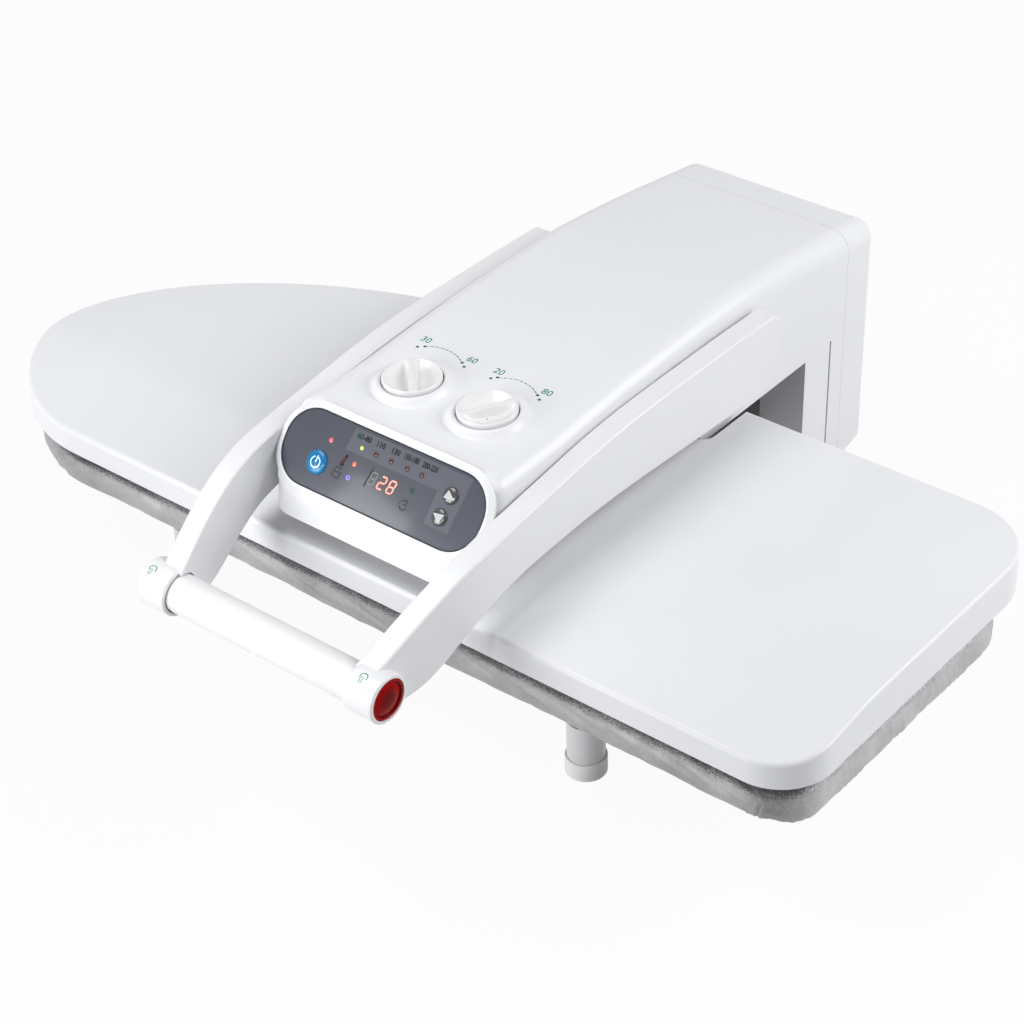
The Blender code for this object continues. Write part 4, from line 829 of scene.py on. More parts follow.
outline = board_outline()
below_casing = CASING_LOW - CASING_WALL
above_casing = CASING_TOP + CASING_WALL
casing = to_object("casing_shell", lid(outline, CASING_LOW, 0.0, CASING_RIM))
boolean(casing, lid(inset(outline, CASING_WALL), below_casing, CASING_WALL, CASING_RIM - CASING_WALL))
notch_half, notch_depth, notch_radius = NOTCH
notch = rounded_rectangle(2.0 * notch_half, 2.0 * notch_depth, notch_radius)
boolean(casing, slab([(HEAD_X + x, REAR_Y + y) for x, y in notch], below_casing, above_casing))
boolean(casing, rods(STUD_HOLE, CASING_LOW, above_casing, [shift(x, y, 0.0) for x, y in STUDS], 24))
soften(casing, lambda a, b: max(a.z, b.z) < CASING_LOW + GAP, CASING_EDGE)
dress(casing, shell_white, "head", "plate_casing", angle=28.0)


# Head cover

def cover_half(y):
    """Half the cover's width, which narrows a little towards the rear."""
    return COVER_HALF - COVER_TAPER * (y - COVER_FRONT) / COVER_LENGTH


roof = [(COVER_FRONT + along * COVER_LENGTH, ROOF_PEAK - down * ROOF_DROP)
        for along, down in through(ROOF, 4)]
cover_profile = [PANEL_LOW, PANEL_TOP] + roof
cover_profile += [(COVER_REAR, COLUMN_REAR_LOW), (COLUMN_CHAMFER, COLUMN_LOW), (COLUMN_FRONT, COLUMN_LOW),
                  (COLUMN_FRONT, WAIST[1]), WAIST, (WAIST[0], SKIRT_Z), (COVER_FRONT, SKIRT_Z)]
side_radii = [SLOPE_EDGE] + [ROOF_EDGE] * len(roof) + [REAR_EDGE] + [0.0] * 6 + [SKIRT_EDGE]
cross_radii = [PANEL_EDGE, PANEL_EDGE] + [0.0] * (len(roof) - 1) + [REAR_EDGE] + [0.0] * 7


def moulding(name, profile, wall):
    """A solid on a side profile, with a fillet of its own on each edge."""
    bm = loft([[(HEAD_X - cover_half(y) + wall, y, z) for y, z in profile],
               [(HEAD_X + cover_half(y) - wall, y, z) for y, z in profile]])
    weights = bm.edges.layers.float.new("bevel_weight_edge")
    count = len(profile)
    bm.verts.ensure_lookup_table()
    index = {vert: i for i, vert in enumerate(bm.verts)}
    for edge in bm.edges:
        i, j = sorted(index[vert] for vert in edge.verts)
        if j - i == count:
            radius = cross_radii[i]
        else:
            i, j = i % count, j % count
            radius = side_radii[max(i, j) if {i, j} == {0, count - 1} else min(i, j)]
        edge[weights] = max(radius - wall, 0.0) / SKIRT_EDGE
    made = to_object(name, bm)
    step = made.modifiers.new("edges", "BEVEL")
    step.width = SKIRT_EDGE
    step.segments = COVER_EDGE_STEPS
    step.limit_method = "WEIGHT"
    step.use_clamp_overlap = False
    return bake(made)


def inner_profile():
    """The inside of the cover, open below."""
    inner = inset(cover_profile, -COVER_WALL)
    floor_z = COLUMN_LOW - PAST
    front_y = COLUMN_FRONT + COVER_WALL
    ceiling_z = WAIST[1] - COVER_WALL
    made = inner[:len(roof) + 2]
    made += [(COVER_REAR - COVER_WALL, floor_z), (COLUMN_CHAMFER, floor_z), (front_y, floor_z),
             (front_y, ceiling_z), (COLUMN_FRONT - PAST, ceiling_z), (COVER_FRONT + COVER_WALL, ceiling_z)]
    return made + [inner[-1]]


def block(half, front, rear, top):
    """A cutting block across the head, from below the column up to a height."""
    return box((HEAD_X - half, front, low), (HEAD_X + half, rear, top))


along_x = turn(90.0, "Y")
along_y = turn(-90.0, "X")
wide = COVER_HALF + PAST
high = ROOF_PEAK + PAST
low = COLUMN_LOW - 2.0 * PAST
half_gap = GAP / 2.0
cover = boolean(moulding("cover_shell", cover_profile, 0.0), moulding("hollow", inner_profile(), COVER_WALL))
back = add_object("rear_shell", cover.data.copy())
boolean(cover, block(wide, SEAM_Y - half_gap, COVER_REAR + PAST, high))
boolean(back, block(wide, COVER_FRONT - PAST, SEAM_Y + half_gap, high))
boolean(cover, block(RETURN_HALF, COLUMN_FRONT - PAST, COLUMN_FRONT + COVER_WALL + PAST, WAIST[1]))
slot_width, slot_y, slot_top = SLOT
for side in (-1.0, 1.0):
    ends = sorted((HEAD_X + side * (cover_half(slot_y) - 2.0 * COVER_WALL), HEAD_X + side * wide))
    boolean(cover, box((ends[0], slot_y - slot_width / 2.0, low),
                       (ends[1], slot_y + slot_width / 2.0, slot_top)))
boolean(cover, place(rod(SHAFT_BORE, -wide, wide), shift(HEAD_X, *PIVOT) @ along_x))

run_y, rise_z = (top - start for top, start in zip(PANEL_TOP, PANEL_LOW))
panel_frame = shift(HEAD_X, PANEL_LOW[0] + PANEL_SHARE * run_y, PANEL_LOW[1] + PANEL_SHARE * rise_z)
panel_frame = panel_frame @ Matrix.Rotation(math.atan2(rise_z, run_y), 4, "X")


def bezel():
    """The raised rim round the lens, rounded over on its outer side."""
    width, height, radius = LENS
    rings = []
    for out, level in BEZEL_SECTION:
        rim = BEZEL_RIM + out
        edge = rounded_rectangle(width + 2.0 * rim, height + 2.0 * rim, radius + rim)
        rings.append([(x, y, level) for x, y in edge])
    return loft(rings)


boolean(cover, place(bezel(), panel_frame), "UNION")
width, height, radius = LENS
recess = rounded_rectangle(width + 2.0 * GAP, height + 2.0 * GAP, radius + GAP)
boolean(cover, place(slab(recess, 0.0, BEZEL_PROUD + PAST), panel_frame))
boolean(cover, place(slab(rounded_rectangle(*WINDOW), -PAST, BEZEL_PROUD), panel_frame))


def roof_z(y):
    """Height of the roof at y."""
    points = [PANEL_TOP] + roof
    for (y0, z0), (y1, z1) in zip(points, points[1:]):
        if y0 <= y <= y1:
            return z0 + (z1 - z0) * (y - y0) / (y1 - y0)
    return points[-1][1]


roof_tilt = math.atan2(roof_z(KNOB_Y + COLLAR_BASE) - roof_z(KNOB_Y - COLLAR_BASE), 2.0 * COLLAR_BASE)
dial_frames = [shift(HEAD_X + side * KNOB_SPREAD, KNOB_Y, roof_z(KNOB_Y)) @ Matrix.Rotation(roof_tilt, 4, "X")
               for side in (-1.0, 1.0)]
well = KNOB_RADIUS + KNOB_PLAY
collar = [(0.0, -COVER_WALL / 2.0), (COLLAR_BASE + 0.001, -COVER_WALL / 2.0)]
collar += [(COLLAR_TOP + (COLLAR_BASE - COLLAR_TOP) * out, COLLAR_HEIGHT * up) for out, up in COLLAR_FLANK]
collar += [(COLLAR_TOP - 0.0008, COLLAR_HEIGHT + 0.0001), (well + WELL_EDGE, COLLAR_HEIGHT),
           (well, COLLAR_HEIGHT - WELL_EDGE), (well, COLLAR_WALL), (0.0, COLLAR_WALL)]
for dial in dial_frames:
    boolean(cover, place(lathe(collar, 96), dial), "UNION")
boolean(cover, rods(DIAL_BORE, -PAST, PAST, dial_frames, 32))
soften(cover, lambda a, b: min(a.y, b.y) > SEAM_Y - GAP and min(a.z, b.z) > SEAM_LOW, SEAM_EDGE)
dress(cover, shell_white, "head", "head_cover", angle=30.0)

screws = [shift(HEAD_X + side * SCREW_SPREAD, COVER_REAR, z) @ along_y
          for z in SCREW_LEVELS for side in (-1.0, 1.0)]
gland = shift(HEAD_X + GLAND_PLACE[0], COVER_REAR, GLAND_PLACE[1]) @ along_y
screw_bores = rods(SCREW_BORE, -PAST, PAST, screws, 24)
boolean(back, merge(screw_bores, place(rod(GLAND_BORE, -PAST, PAST, 48), gland)))
soften(back, lambda a, b: max(a.y, b.y) < SEAM_Y + GAP and min(a.z, b.z) > SEAM_LOW, SEAM_EDGE)
dress(back, shell_white, "head", "rear_cover", angle=30.0)


# Lens and buttons

lens_top = GAP + LENS_THICK
rings = [[(x, y, level) for x, y in rounded_rectangle(width - 2.0 * cut, height - 2.0 * cut, radius - cut)]
         for cut, level in ((0.0, GAP), (0.0, lens_top - LENS_EDGE),
                            (0.3 * LENS_EDGE, lens_top - 0.3 * LENS_EDGE), (LENS_EDGE, lens_top))]
lens = to_object("lens_glass", place(loft(rings), panel_frame))
buttons = {"power_button": POWER_PLACE, "up_button": UP_PLACE, "down_button": DOWN_PLACE}
boolean(lens, merge(*(place(rod(r + GAP, -PAST, PAST), panel_frame @ shift(u, v, 0.0))
                      for u, v, r in buttons.values())))
dress(lens, slate_lens("slate lens", (0.042, 0.048, 0.070), (0.100, 0.110, 0.146)), "head", "panel_lens")

blue = blue_button()
dome = through(DOME_SHARES, 5)
for name, (u, v, r) in buttons.items():
    points = [(0.0, -BUTTON_FLANGE), (r + BUTTON_FLANGE, -BUTTON_FLANGE), (r + BUTTON_FLANGE, 0.0), (r, 0.0)]
    points += [(r * out, lens_top + BUTTON_RISE * up) for out, up in dome[:-1]]
    points.append((0.0, lens_top + BUTTON_RISE))
    piece(name + "_dome", place(lathe(points, 64), panel_frame @ shift(u, v, 0.0)),
          blue if name == "power_button" else dark_glossy, name, name)


# Knobs: a rib across each, with a hollow scooped out on both sides

def knob_face(x, y):
    """Height of the knob's face below its rim, with the rib along X."""
    far = math.hypot(x, y) / KNOB_RADIUS
    side = abs(y) / KNOB_RADIUS
    waist = RIB_WAIST_SHARE + RIB_FLARE_SHARE * (x / KNOB_RADIUS) ** 2
    wall = min(1.0, max(0.0, (side - waist) / RIB_WALL_SHARE))
    wall = wall * wall * (3.0 - 2.0 * wall)
    return -SCOOP_DEPTH * wall * max(0.0, 1.0 - (far / SCOOP_SHARE) ** SCOOP_POWER)


def knob_body():
    """A sculpted disc: a rounded rim, a polar grid over its face, and a stem below."""
    seat = COLLAR_WALL + GAP
    top = seat + KNOB_HEIGHT
    shoulder = top - KNOB_EDGE[1]
    profile = [(0.0, seat), (KNOB_RADIUS - 0.0004, seat), (KNOB_RADIUS, seat + 0.0004),
               (KNOB_RADIUS, shoulder)]
    profile += [(KNOB_RADIUS - KNOB_EDGE[0] * (1.0 - math.cos(a)), shoulder + KNOB_EDGE[1] * math.sin(a))
                for a in (math.pi / 2.0 * i / 6.0 for i in range(1, 7))]
    inner = profile[-1][0]
    profile += [(inner * (1.0 - i / KNOB_RINGS), top) for i in range(1, KNOB_RINGS)]
    profile.append((0.0, top))
    bm = lathe(profile, 96)
    for vert in bm.verts:
        if vert.co.z > top - GAP:
            vert.co.z += knob_face(vert.co.x, vert.co.y)
    return merge(bm, rod(KNOB_STEM[0], -COVER_WALL - KNOB_STEM[1], seat + KNOB_HEIGHT / 4.0, 32))


for name, dial, degrees in zip(("left_knob", "right_knob"), dial_frames, KNOB_TURNS):
    piece(name + "_cap", place(knob_body(), dial @ turn(degrees, "Z")), knob_white, name, name, angle=50.0)


# Lever arms

def arm_outer(y):
    """Half the handle's width, which curves in towards the hubs."""
    reach = max(0.0, (ARM_BEND_Y - y) / (ARM_BEND_Y - HUB[0]))
    return ARM_HUB_HALF + (ARM_HALF - ARM_HUB_HALF) * (1.0 - reach ** ARM_BEND_POWER)


def arm_ring(side, y, top, low):
    """One rounded cross-section of an arm."""
    middle = (top + low) / 2.0
    centre = arm_outer(y) - ARM_THICK / 2.0
    return [(HEAD_X + side * (centre + u), y, middle + v)
            for u, v in rounded_rectangle(ARM_THICK, top - low, min(ARM_EDGE, 0.4 * (top - low)), 5)]


def lever(side):
    """An arm from its hub to the round eye at the pivot."""
    length = PIVOT[0] - HUB[0]
    rings = [arm_ring(side, HUB[0] + along * length, ARM_TOP - top * ARM_DROP, ARM_TOP - down * ARM_DROP)
             for along, top, down in through(ARM, 5)]
    for degrees in EYE_STEPS:
        a = math.radians(degrees)
        up = EYE_RADIUS * math.cos(a)
        rings.append(arm_ring(side, PIVOT[0] + EYE_REACH * math.sin(a), PIVOT[1] + up, PIVOT[1] - up))
    return loft(rings)


hub_low = HUB_HALF - HUB_LENGTH
bore_floor = HUB_HALF - STEAM_BORE
button_back = HUB_HALF - STEAM_RECESS - STEAM_LENGTH
hub_inner = HUB_RADIUS - HUB_EDGE
hub = [(0.0, hub_low)] + arc(hub_inner, hub_low + HUB_EDGE, HUB_EDGE, -90.0, 0.0, 5)
hub += arc(hub_inner, HUB_HALF - HUB_EDGE, HUB_EDGE, 0.0, 90.0, 5) + [(0.0, HUB_HALF)]
arm_bores = ((STEAM_RADIUS + GAP, bore_floor, HUB_HALF + PAST, HUB),
             (GRIP[1] + GRIP_GAP, hub_low - PAST, hub_low + GRIP_SOCKET, HUB),
             (BUSH_RECESS, ARM_INNER - PAST, ARM_INNER, PIVOT),
             (ROD_RADIUS + GAP, hub_low, HUB_HALF, HUB),
             (SHAFT_RADIUS + GAP, ARM_INNER - PAST, ARM_INNER + SHAFT_SOCKET, PIVOT))
steam_face = [(0.0, 0.0), (STEAM_RADIUS, 0.0)]
steam_face += [(STEAM_RADIUS * out, STEAM_LENGTH * up) for out, up in through(STEAM_FACE_SHARES, 4)]
red = steam_red()
for side, name in ((-1.0, "left"), (1.0, "right")):
    out = turn(90.0 * side, "Y")
    arm = to_object(name + "_lever", lever(side))
    boolean(arm, place(lathe(hub, 72), shift(HEAD_X, *HUB) @ out), "UNION")
    for cut_radius, start, end, where in arm_bores:
        boolean(arm, place(rod(cut_radius, start, end), shift(HEAD_X, *where) @ out))
    soften(arm, lambda a, b: min(abs(a.x - HEAD_X), abs(b.x - HEAD_X)) > HUB_HALF - 0.5 * GAP, BORE_EDGE)
    dress(arm, arm_white, "handle", name + "_arm", angle=38.0)
    piece(name + "_steam_cap", place(lathe(steam_face, 72), shift(HEAD_X + side * button_back, *HUB) @ out),
          red, name + "_steam_button", name + "_steam_button", angle=50.0)

grip_half = hub_low + GRIP_SOCKET - GAP
tube = [(GRIP[0], -grip_half), (GRIP[1], -grip_half), (GRIP[1], grip_half), (GRIP[0], grip_half)]
piece("grip_tube", place(lathe(tube, 72, closed=True), shift(HEAD_X, *HUB) @ along_x), grip_white, "handle",
      "grip_bar")


# Legs and their caps

cap_radius, cap_top, cap_floor = LEG_CAP
stem_radius = LEG_RADIUS - GAP
stem = [(0.0, cap_floor + GAP), (stem_radius, cap_floor + GAP), (stem_radius, LEG_TOP), (0.0, LEG_TOP)]
foot = [(0.0, 0.0)] + arc(cap_radius - FOOT_EDGE, FOOT_EDGE, FOOT_EDGE, -90.0, 0.0, 5)
foot += [(cap_radius, cap_top - 0.0006), (cap_radius - 0.0003, cap_top - 0.0001),
         (cap_radius - 0.0006, cap_top), (LEG_RADIUS, cap_top), (LEG_RADIUS, cap_floor), (0.0, cap_floor)]
for spot, (x, y) in LEGS.items():
    piece(spot + "_tube", place(lathe(stem, 64), shift(x, y, 0.0)), leg_white, "base", spot + "_leg")
    piece(spot + "_foot", place(lathe(foot, 64), shift(x, y, 0.0)), cap_white, "base", spot + "_leg_cap")


# Board pad: cloth swollen over a smaller body, then its folds, tucks and drawn-in underside

def board_edge(distance):
    """The outline moved inwards, and drawn in further at the nose and along the rear."""
    length_share, depth_share = 1.0 - PAD_LEFT_INSET / LENGTH, 1.0 - PAD_REAR_INSET / DEPTH
    return [(HALF_LENGTH + (x - HALF_LENGTH) * length_share, FRONT_Y + (y - FRONT_Y) * depth_share)
            for x, y in inset(outline, distance)]


def smooth_step(value, low, high):
    """Zero below low, one above high, eased between."""
    share = np.clip((value - low) / (high - low), 0.0, 1.0)
    return share * share * (3.0 - 2.0 * share)


class Rim:
    """The pad's plan edge, to find how far along it and how far inside it a point lies."""

    def __init__(self, points):
        self.start = np.array(points)
        self.step = np.roll(self.start, -1, axis=0) - self.start
        self.length = np.hypot(*self.step.T)
        self.before = np.concatenate(([0.0], np.cumsum(self.length)[:-1]))

    def find(self, plan):
        """Distance along the edge, distance inside it, and the outward direction, for each point."""
        along, inside, outward = [], [], []
        for part in np.array_split(plan, max(1, len(plan) // 2000)):
            gap = part[:, None, :] - self.start[None]
            share = np.clip((gap * self.step).sum(-1) / (self.length ** 2), 0.0, 1.0)
            away = gap - share[..., None] * self.step
            far = np.hypot(away[..., 0], away[..., 1])
            best = far.argmin(1)
            rows = np.arange(len(part))
            step = self.step[best] / self.length[best, None]
            normal = np.stack((step[:, 1], -step[:, 0]), 1)
            along.append(self.before[best] + share[rows, best] * self.length[best])
            inside.append(-(away[rows, best] * normal).sum(1))
            outward.append(normal)
        return np.concatenate(along), np.concatenate(inside), np.concatenate(outward)


def read_points(mesh):
    """A mesh's points as an array."""
    flat = np.empty(len(mesh.vertices) * 3)
    mesh.vertices.foreach_get("co", flat)
    return flat.reshape(-1, 3)


def write_points(mesh, points):
    """Puts an array back into a mesh's points."""
    mesh.vertices.foreach_set("co", points.ravel())
    mesh.update()


def ripple(x, y, z, seed):
    """Smooth noise at arrays of places."""
    return np.array([noise.noise((a, b, c + seed)) for a, b, c in zip(x, y, z)])


PAD_SECTION = ((0.0040, 0.0806), (0.0018, 0.0822), (0.0010, 0.0860), (0.0008, 0.0930), (0.0010, 0.0985),
               (0.0016, 0.1020), (0.0032, 0.1048), (0.0070, 0.1068), (0.0160, 0.1082), (0.0320, 0.1094),
               (0.0620, 0.1100))
rim = Rim(board_edge(PAD_INSET))
body = [[(x, y, z) for x, y in board_edge(PAD_INSET + cut)]
        for cut, z in PAD_SECTION]
pad = to_object("pad_cloth", loft(body))
step = pad.modifiers.new("voxels", "REMESH")
step.mode = "VOXEL"
step.voxel_size = PAD_VOXEL
bake(pad)
still = read_points(pad.data).copy()
held = rim.find(still[:, :2])[1] > 0.014
group = pad.vertex_groups.new(name="held")
group.add([int(i) for i in np.flatnonzero(held)], 1.0, "REPLACE")
step = pad.modifiers.new("swelling", "CLOTH")
fabric = step.settings
fabric.quality = 5
fabric.mass = 0.25
fabric.tension_stiffness = fabric.compression_stiffness = 10.0
fabric.shear_stiffness = 4.0
fabric.bending_stiffness = 0.15
fabric.use_pressure = True
fabric.uniform_pressure_force = 4.0
fabric.vertex_group_mass = "held"
fabric.shrink_min = -0.015
fabric.effector_weights.gravity = 0.0
for moment in range(1, 21):
    bpy.context.scene.frame_set(moment)
moved = read_points(pad.evaluated_get(bpy.context.evaluated_depsgraph_get()).data) - still
pad.modifiers.clear()
pad.vertex_groups.clear()
bpy.context.scene.frame_set(1)
far = np.linalg.norm(moved, axis=1, keepdims=True)
write_points(pad.data, still + moved * (PAD_CAP * np.tanh(far / PAD_CAP) / np.maximum(far, 1e-9)))
step = pad.modifiers.new("finer", "SUBSURF")
step.levels = step.render_levels = 1
bake(pad)


def finer_band(made):
    """Cuts the faces of the visible band once more."""
    bm = bmesh.new()
    bm.from_mesh(made.data)
    bm.verts.ensure_lookup_table()
    inside = rim.find(read_points(made.data)[:, :2])[1]
    near = [edge for edge in bm.edges if max(inside[v.index] for v in edge.verts) < PAD_BAND]
    bmesh.ops.subdivide_edges(bm, edges=near, cuts=1, use_grid_fill=True, smooth=0.6)
    bm.to_mesh(made.data)
    bm.free()


finer_band(pad)
points = read_points(pad.data)
along, inside, outward = rim.find(points[:, :2])
band = np.flatnonzero(inside < PAD_BAND)
x, y, z = points[band].T
run, depth, away = along[band], inside[band], outward[band]
side = 1.0 - smooth_step(z, 0.0985, 0.1065)
low = 1.0 - smooth_step(z, 0.0800, 0.0930)
edge_only = 1.0 - smooth_step(depth, 0.004, 0.012)
on_front = 1.0 - smooth_step(y, -0.200, -0.175)
on_right = smooth_step(x, 0.385, 0.400) * (1.0 - smooth_step(y, 0.075, 0.095))
on_nose = 1.0 - smooth_step(x, -0.38, -0.30)
drag = ripple(run * 24.0 + z * 150.0, z * 40.0, run * 5.0, 2.0)
drag += 0.7 * ripple(run * 62.0 + z * 300.0, z * 60.0, run * 11.0, 7.0)
puff = 0.0016 * on_front * (0.25 + 0.75 * smooth_step(x, -0.18, -0.04)) * drag
phase = run / 0.0115 + 2.3 * ripple(run * 30.0, z * 25.0, z * 0.0, 11.0)
gather = 1.0 - np.abs(np.sin(math.pi * phase)) ** 0.7
soft = ripple(run * 70.0, z * 60.0, run * 9.0, 17.0)
puff += on_right * (0.0026 * low - 0.0008 * gather * (0.35 + 0.65 * low) + 0.0006 * soft)
puff += on_nose * (0.0024 * low + 0.0002 * ripple(run * 30.0, z * 60.0, z * 0.0, 5.0))
for where, width, depth_mm, top, slant in TUCKS:
    across = (run - where - slant * (z - 0.088)) / width
    reach = 1.0 - smooth_step(z, top - 0.006, top)
    puff += reach * MM * depth_mm * (np.exp(-(across - 1.3) ** 2) + 0.8 * np.exp(-(across + 1.3) ** 2)
                                     - 1.5 * np.exp(-across ** 2 * 2.2))
points[band, :2] += away * (puff * side * edge_only)[:, None]
crest = 0.0004 * np.exp(-((z - 0.1035) / 0.0011) ** 2) * edge_only
points[band, :2] += away * (crest * (1.0 + 0.6 * ripple(run * 160.0, z * 0.0, z * 0.0, 23.0)))[:, None]
points[band, 2] -= 0.0014 * (on_right + on_nose).clip(0.0, 1.0) * low * edge_only
over = 0.0006 * (ripple(run * 60.0, depth * 90.0, z * 0.0, 29.0) - 0.3) * smooth_step(z, 0.103, 0.106)
points[band, 2] += over * (1.0 - smooth_step(depth, 0.010, PAD_BAND))
points[:, 2] = np.minimum(points[:, 2], PAD_HIGH - 0.0001)
write_points(pad.data, points)
boolean(pad, slab(board_edge(PAD_POCKET_INSET), PAD_LOW - 0.004, PAD_LOW + PAD_POCKET))
dress(pad, cloth, "base", "board_pad", angle=60.0)


# Panel graphics, indicator lamps and the digits, in millimetres about the lens's middle

def flat(points, level=0.0):
    """A very thin print on an outline given in millimetres."""
    return slab([(x * MM, y * MM) for x, y in points], level, level + INK)


def stroke(points, width, closed=False):
    """A thin print of even width along a line given in millimetres."""
    line = [Vector(p) * MM for p in points]
    count = len(line)
    rows = ([], [])
    for i, here in enumerate(line):
        before = line[i - 1] if closed or i else here
        after = line[(i + 1) % count] if closed or i < count - 1 else here
        along = (after - before).normalized()
        side = Vector((-along.y, along.x)) * width * MM / 2.0
        rows[0].append(here + side)
        rows[1].append(here - side)
    bm = bmesh.new()
    low, high = ([[bm.verts.new((p.x, p.y, level)) for p in row] for row in rows] for level in (0.0, INK))
    for i in range(count if closed else count - 1):
        j = (i + 1) % count
        bm.faces.new((high[0][i], high[1][i], high[1][j], high[0][j]))
        bm.faces.new((low[0][i], low[0][j], low[1][j], low[1][i]))
        bm.faces.new((high[0][i], high[0][j], low[0][j], low[0][i]))
        bm.faces.new((high[1][i], low[1][i], low[1][j], high[1][j]))
    if not closed:
        bm.faces.new((high[0][0], low[0][0], low[1][0], high[1][0]))
        bm.faces.new((high[0][-1], high[1][-1], low[1][-1], low[0][-1]))
    return bm


def ring(u, v, radius, width, start=0.0, end=360.0):
    """A printed ring, or part of one."""
    full = end - start >= 360.0
    points = arc(u, v, radius, start, end, 40)
    return stroke(points[:-1] if full else points, width, closed=full)


def lamp_dot(u, v, radius, rise=0.35):
    """A small domed indicator lens."""
    profile = [(radius * out * MM, rise * up * MM) for out, up in LAMP_SHARES]
    return place(lathe(profile, 28), shift(u * MM, v * MM, 0.0))


def segments(u, v, size, lit, thick):
    """The lit bars of a leaning seven-segment digit."""
    half, quarter = 0.27 * size, 0.25 * size
    bars = {"top": (0.0, 2.0 * quarter, True), "middle": (0.0, 0.0, True),
            "bottom": (0.0, -2.0 * quarter, True),
            "upper left": (-half, quarter, False), "upper right": (half, quarter, False),
            "lower left": (-half, -quarter, False), "lower right": (half, -quarter, False)}
    made = []
    for key in lit:
        x, y, lies = bars[key]
        reach, tip = (half if lies else quarter) - 0.15, thick / 2.0
        points = [(-reach, 0.0), (tip - reach, -tip), (reach - tip, -tip), (reach, 0.0), (reach - tip, tip),
                  (tip - reach, tip)]
        if not lies:
            points = [(-b, a) for a, b in points]
        made.append(flat([(u + x + a + DIGIT_LEAN * (y + b), v + y + b) for a, b in points]))
    return merge(*made)


def letters(words, size, bold=0.0):
    """Plain characters as a thin solid, size in millimetres."""
    curve = bpy.data.curves.new("characters", "FONT")
    curve.body = words
    curve.size = size * MM * 1.4
    curve.offset = bold * MM
    curve.align_x = curve.align_y = "CENTER"
    curve.resolution_u = 3
    made = add_object("characters", curve)
    mesh = evaluated(made)
    bpy.data.objects.remove(made, do_unlink=True)
    bm = bmesh.new()
    bm.from_mesh(mesh)
    bpy.data.meshes.remove(mesh)
    bmesh.ops.remove_doubles(bm, verts=bm.verts, dist=MM * 0.005)
    grown = bmesh.ops.extrude_face_region(bm, geom=bm.faces[:])["geom"]
    upper = [v for v in grown if isinstance(v, bmesh.types.BMVert)]
    bmesh.ops.translate(bm, vec=(0.0, 0.0, INK), verts=upper)
    return bm


def printed(name, bm, finish, body):
    """Makes a print or a lamp and hands it to its body."""
    return piece(name, bm, finish, body, angle=50.0)


def on_lens(name, finish, *prints, level=0.0):
    """Sets prints on the lens."""
    where = panel_frame @ shift(0.0, 0.0, lens_top + level)
    return printed(name, place(merge(*prints), where), finish, "head")


def on_button(name, button, finish, *prints, level=0.0):
    """Lays prints over a button's dome."""
    u, v, radius = buttons[button]
    bm = merge(*prints)
    for vert in bm.verts:
        far = math.hypot(vert.co.x, vert.co.y) / radius
        over = next(b[1] + (a[1] - b[1]) * (b[0] - far) / (b[0] - a[0])
                    for a, b in zip(dome[::-1], dome[-2::-1]) if far <= b[0])
        vert.co.z += lens_top + BUTTON_RISE * over + level
    return printed(name, place(bm, panel_frame @ shift(u, v, 0.0)), finish, button)


def refine(bm, cuts=3):
    """Cuts a flat print finer, so that it can follow a curve."""
    bmesh.ops.subdivide_edges(bm, edges=bm.edges, cuts=cuts, use_grid_fill=True)
    return bm


def scale_number(words, u, slim):
    """A number in the panel's row, with its characters made narrower."""
    return place(letters(words, 4.3, bold=0.17),
                 shift(u * MM, 22.0 * MM, INK) @ Matrix.Diagonal((slim, 1.0, 1.0, 1.0)))


DIGIT_LEAN = 0.20
DIGIT_SIZE = 9.6
DIGIT_ROW = -2.9
LAMP_SHARES = ((0.0, 0.0), (1.0, 0.0), (0.97, 0.35), (0.8, 0.75), (0.45, 0.95), (0.0, 1.0))
FIELD = [(-39.5, 9.0), (49.5, 9.0), (48.3, -17.0), (70.4, -17.0), (75.0, 26.8), (-36.4, 26.8)]
SCALE = (("-80", -23.4, 0.9), ("110", -10.6, 0.95), ("130", 3.8, 0.95), ("150-180", 19.0, 0.72),
         ("200-220", 36.8, 0.72))
LAMP_PLACES = (-25.5, -11.7, 3.0, 18.3, 32.3)
LAMP_ROW = 14.4
ALL_BARS = ("top", "middle", "bottom", "upper left", "upper right", "lower left", "lower right")
TWO_BARS = ("top", "upper right", "middle", "lower left", "bottom")
STEM = [(-36.9 + 0.34 * v, v) for v in (-1.2, 1.2, 3.4, 5.6)]
LENS_LINE = [(x / MM, y / MM) for x, y in rounded_rectangle(LENS[0] - MM, LENS[1] - MM, LENS[2] - MM / 2.0)]

on_lens("panel_field", slate_lens("paler slate print", (0.078, 0.086, 0.112), (0.145, 0.155, 0.190)),
        flat(FIELD))
on_lens("scale_numbers", dark_ink, *(scale_number(*row) for row in SCALE))
on_lens("scale_first_number", print_ink("bottle green ink", (0.008, 0.075, 0.030), gloss=0.1),
        scale_number("60", -30.3, 0.9))
on_lens("lens_edge_line", print_ink("dark slate ink", (0.018, 0.021, 0.032), gloss=0.2),
        stroke(LENS_LINE, 0.9, closed=True))
on_lens("scale_lamp_lit", glow("yellow-green lamp", (0.58, 0.86, 0.14), 0.85),
        lamp_dot(LAMP_PLACES[0], LAMP_ROW, 1.5), level=INK)
on_lens("scale_lamps", glow("dark red lamp", (0.030, 0.004, 0.004), 0.1),
        *(lamp_dot(u, LAMP_ROW, 1.5) for u in LAMP_PLACES[1:]), level=INK)
on_lens("scale_lamp_rings", print_ink("brown ink", (0.095, 0.036, 0.028), gloss=0.2),
        *(ring(u, LAMP_ROW, 1.9, 0.7) for u in LAMP_PLACES[1:]), level=INK)
on_lens("heat_lamp", glow("pink-red lamp", (0.80, 0.09, 0.16), 0.7), lamp_dot(-54.0, 10.5, 1.9))
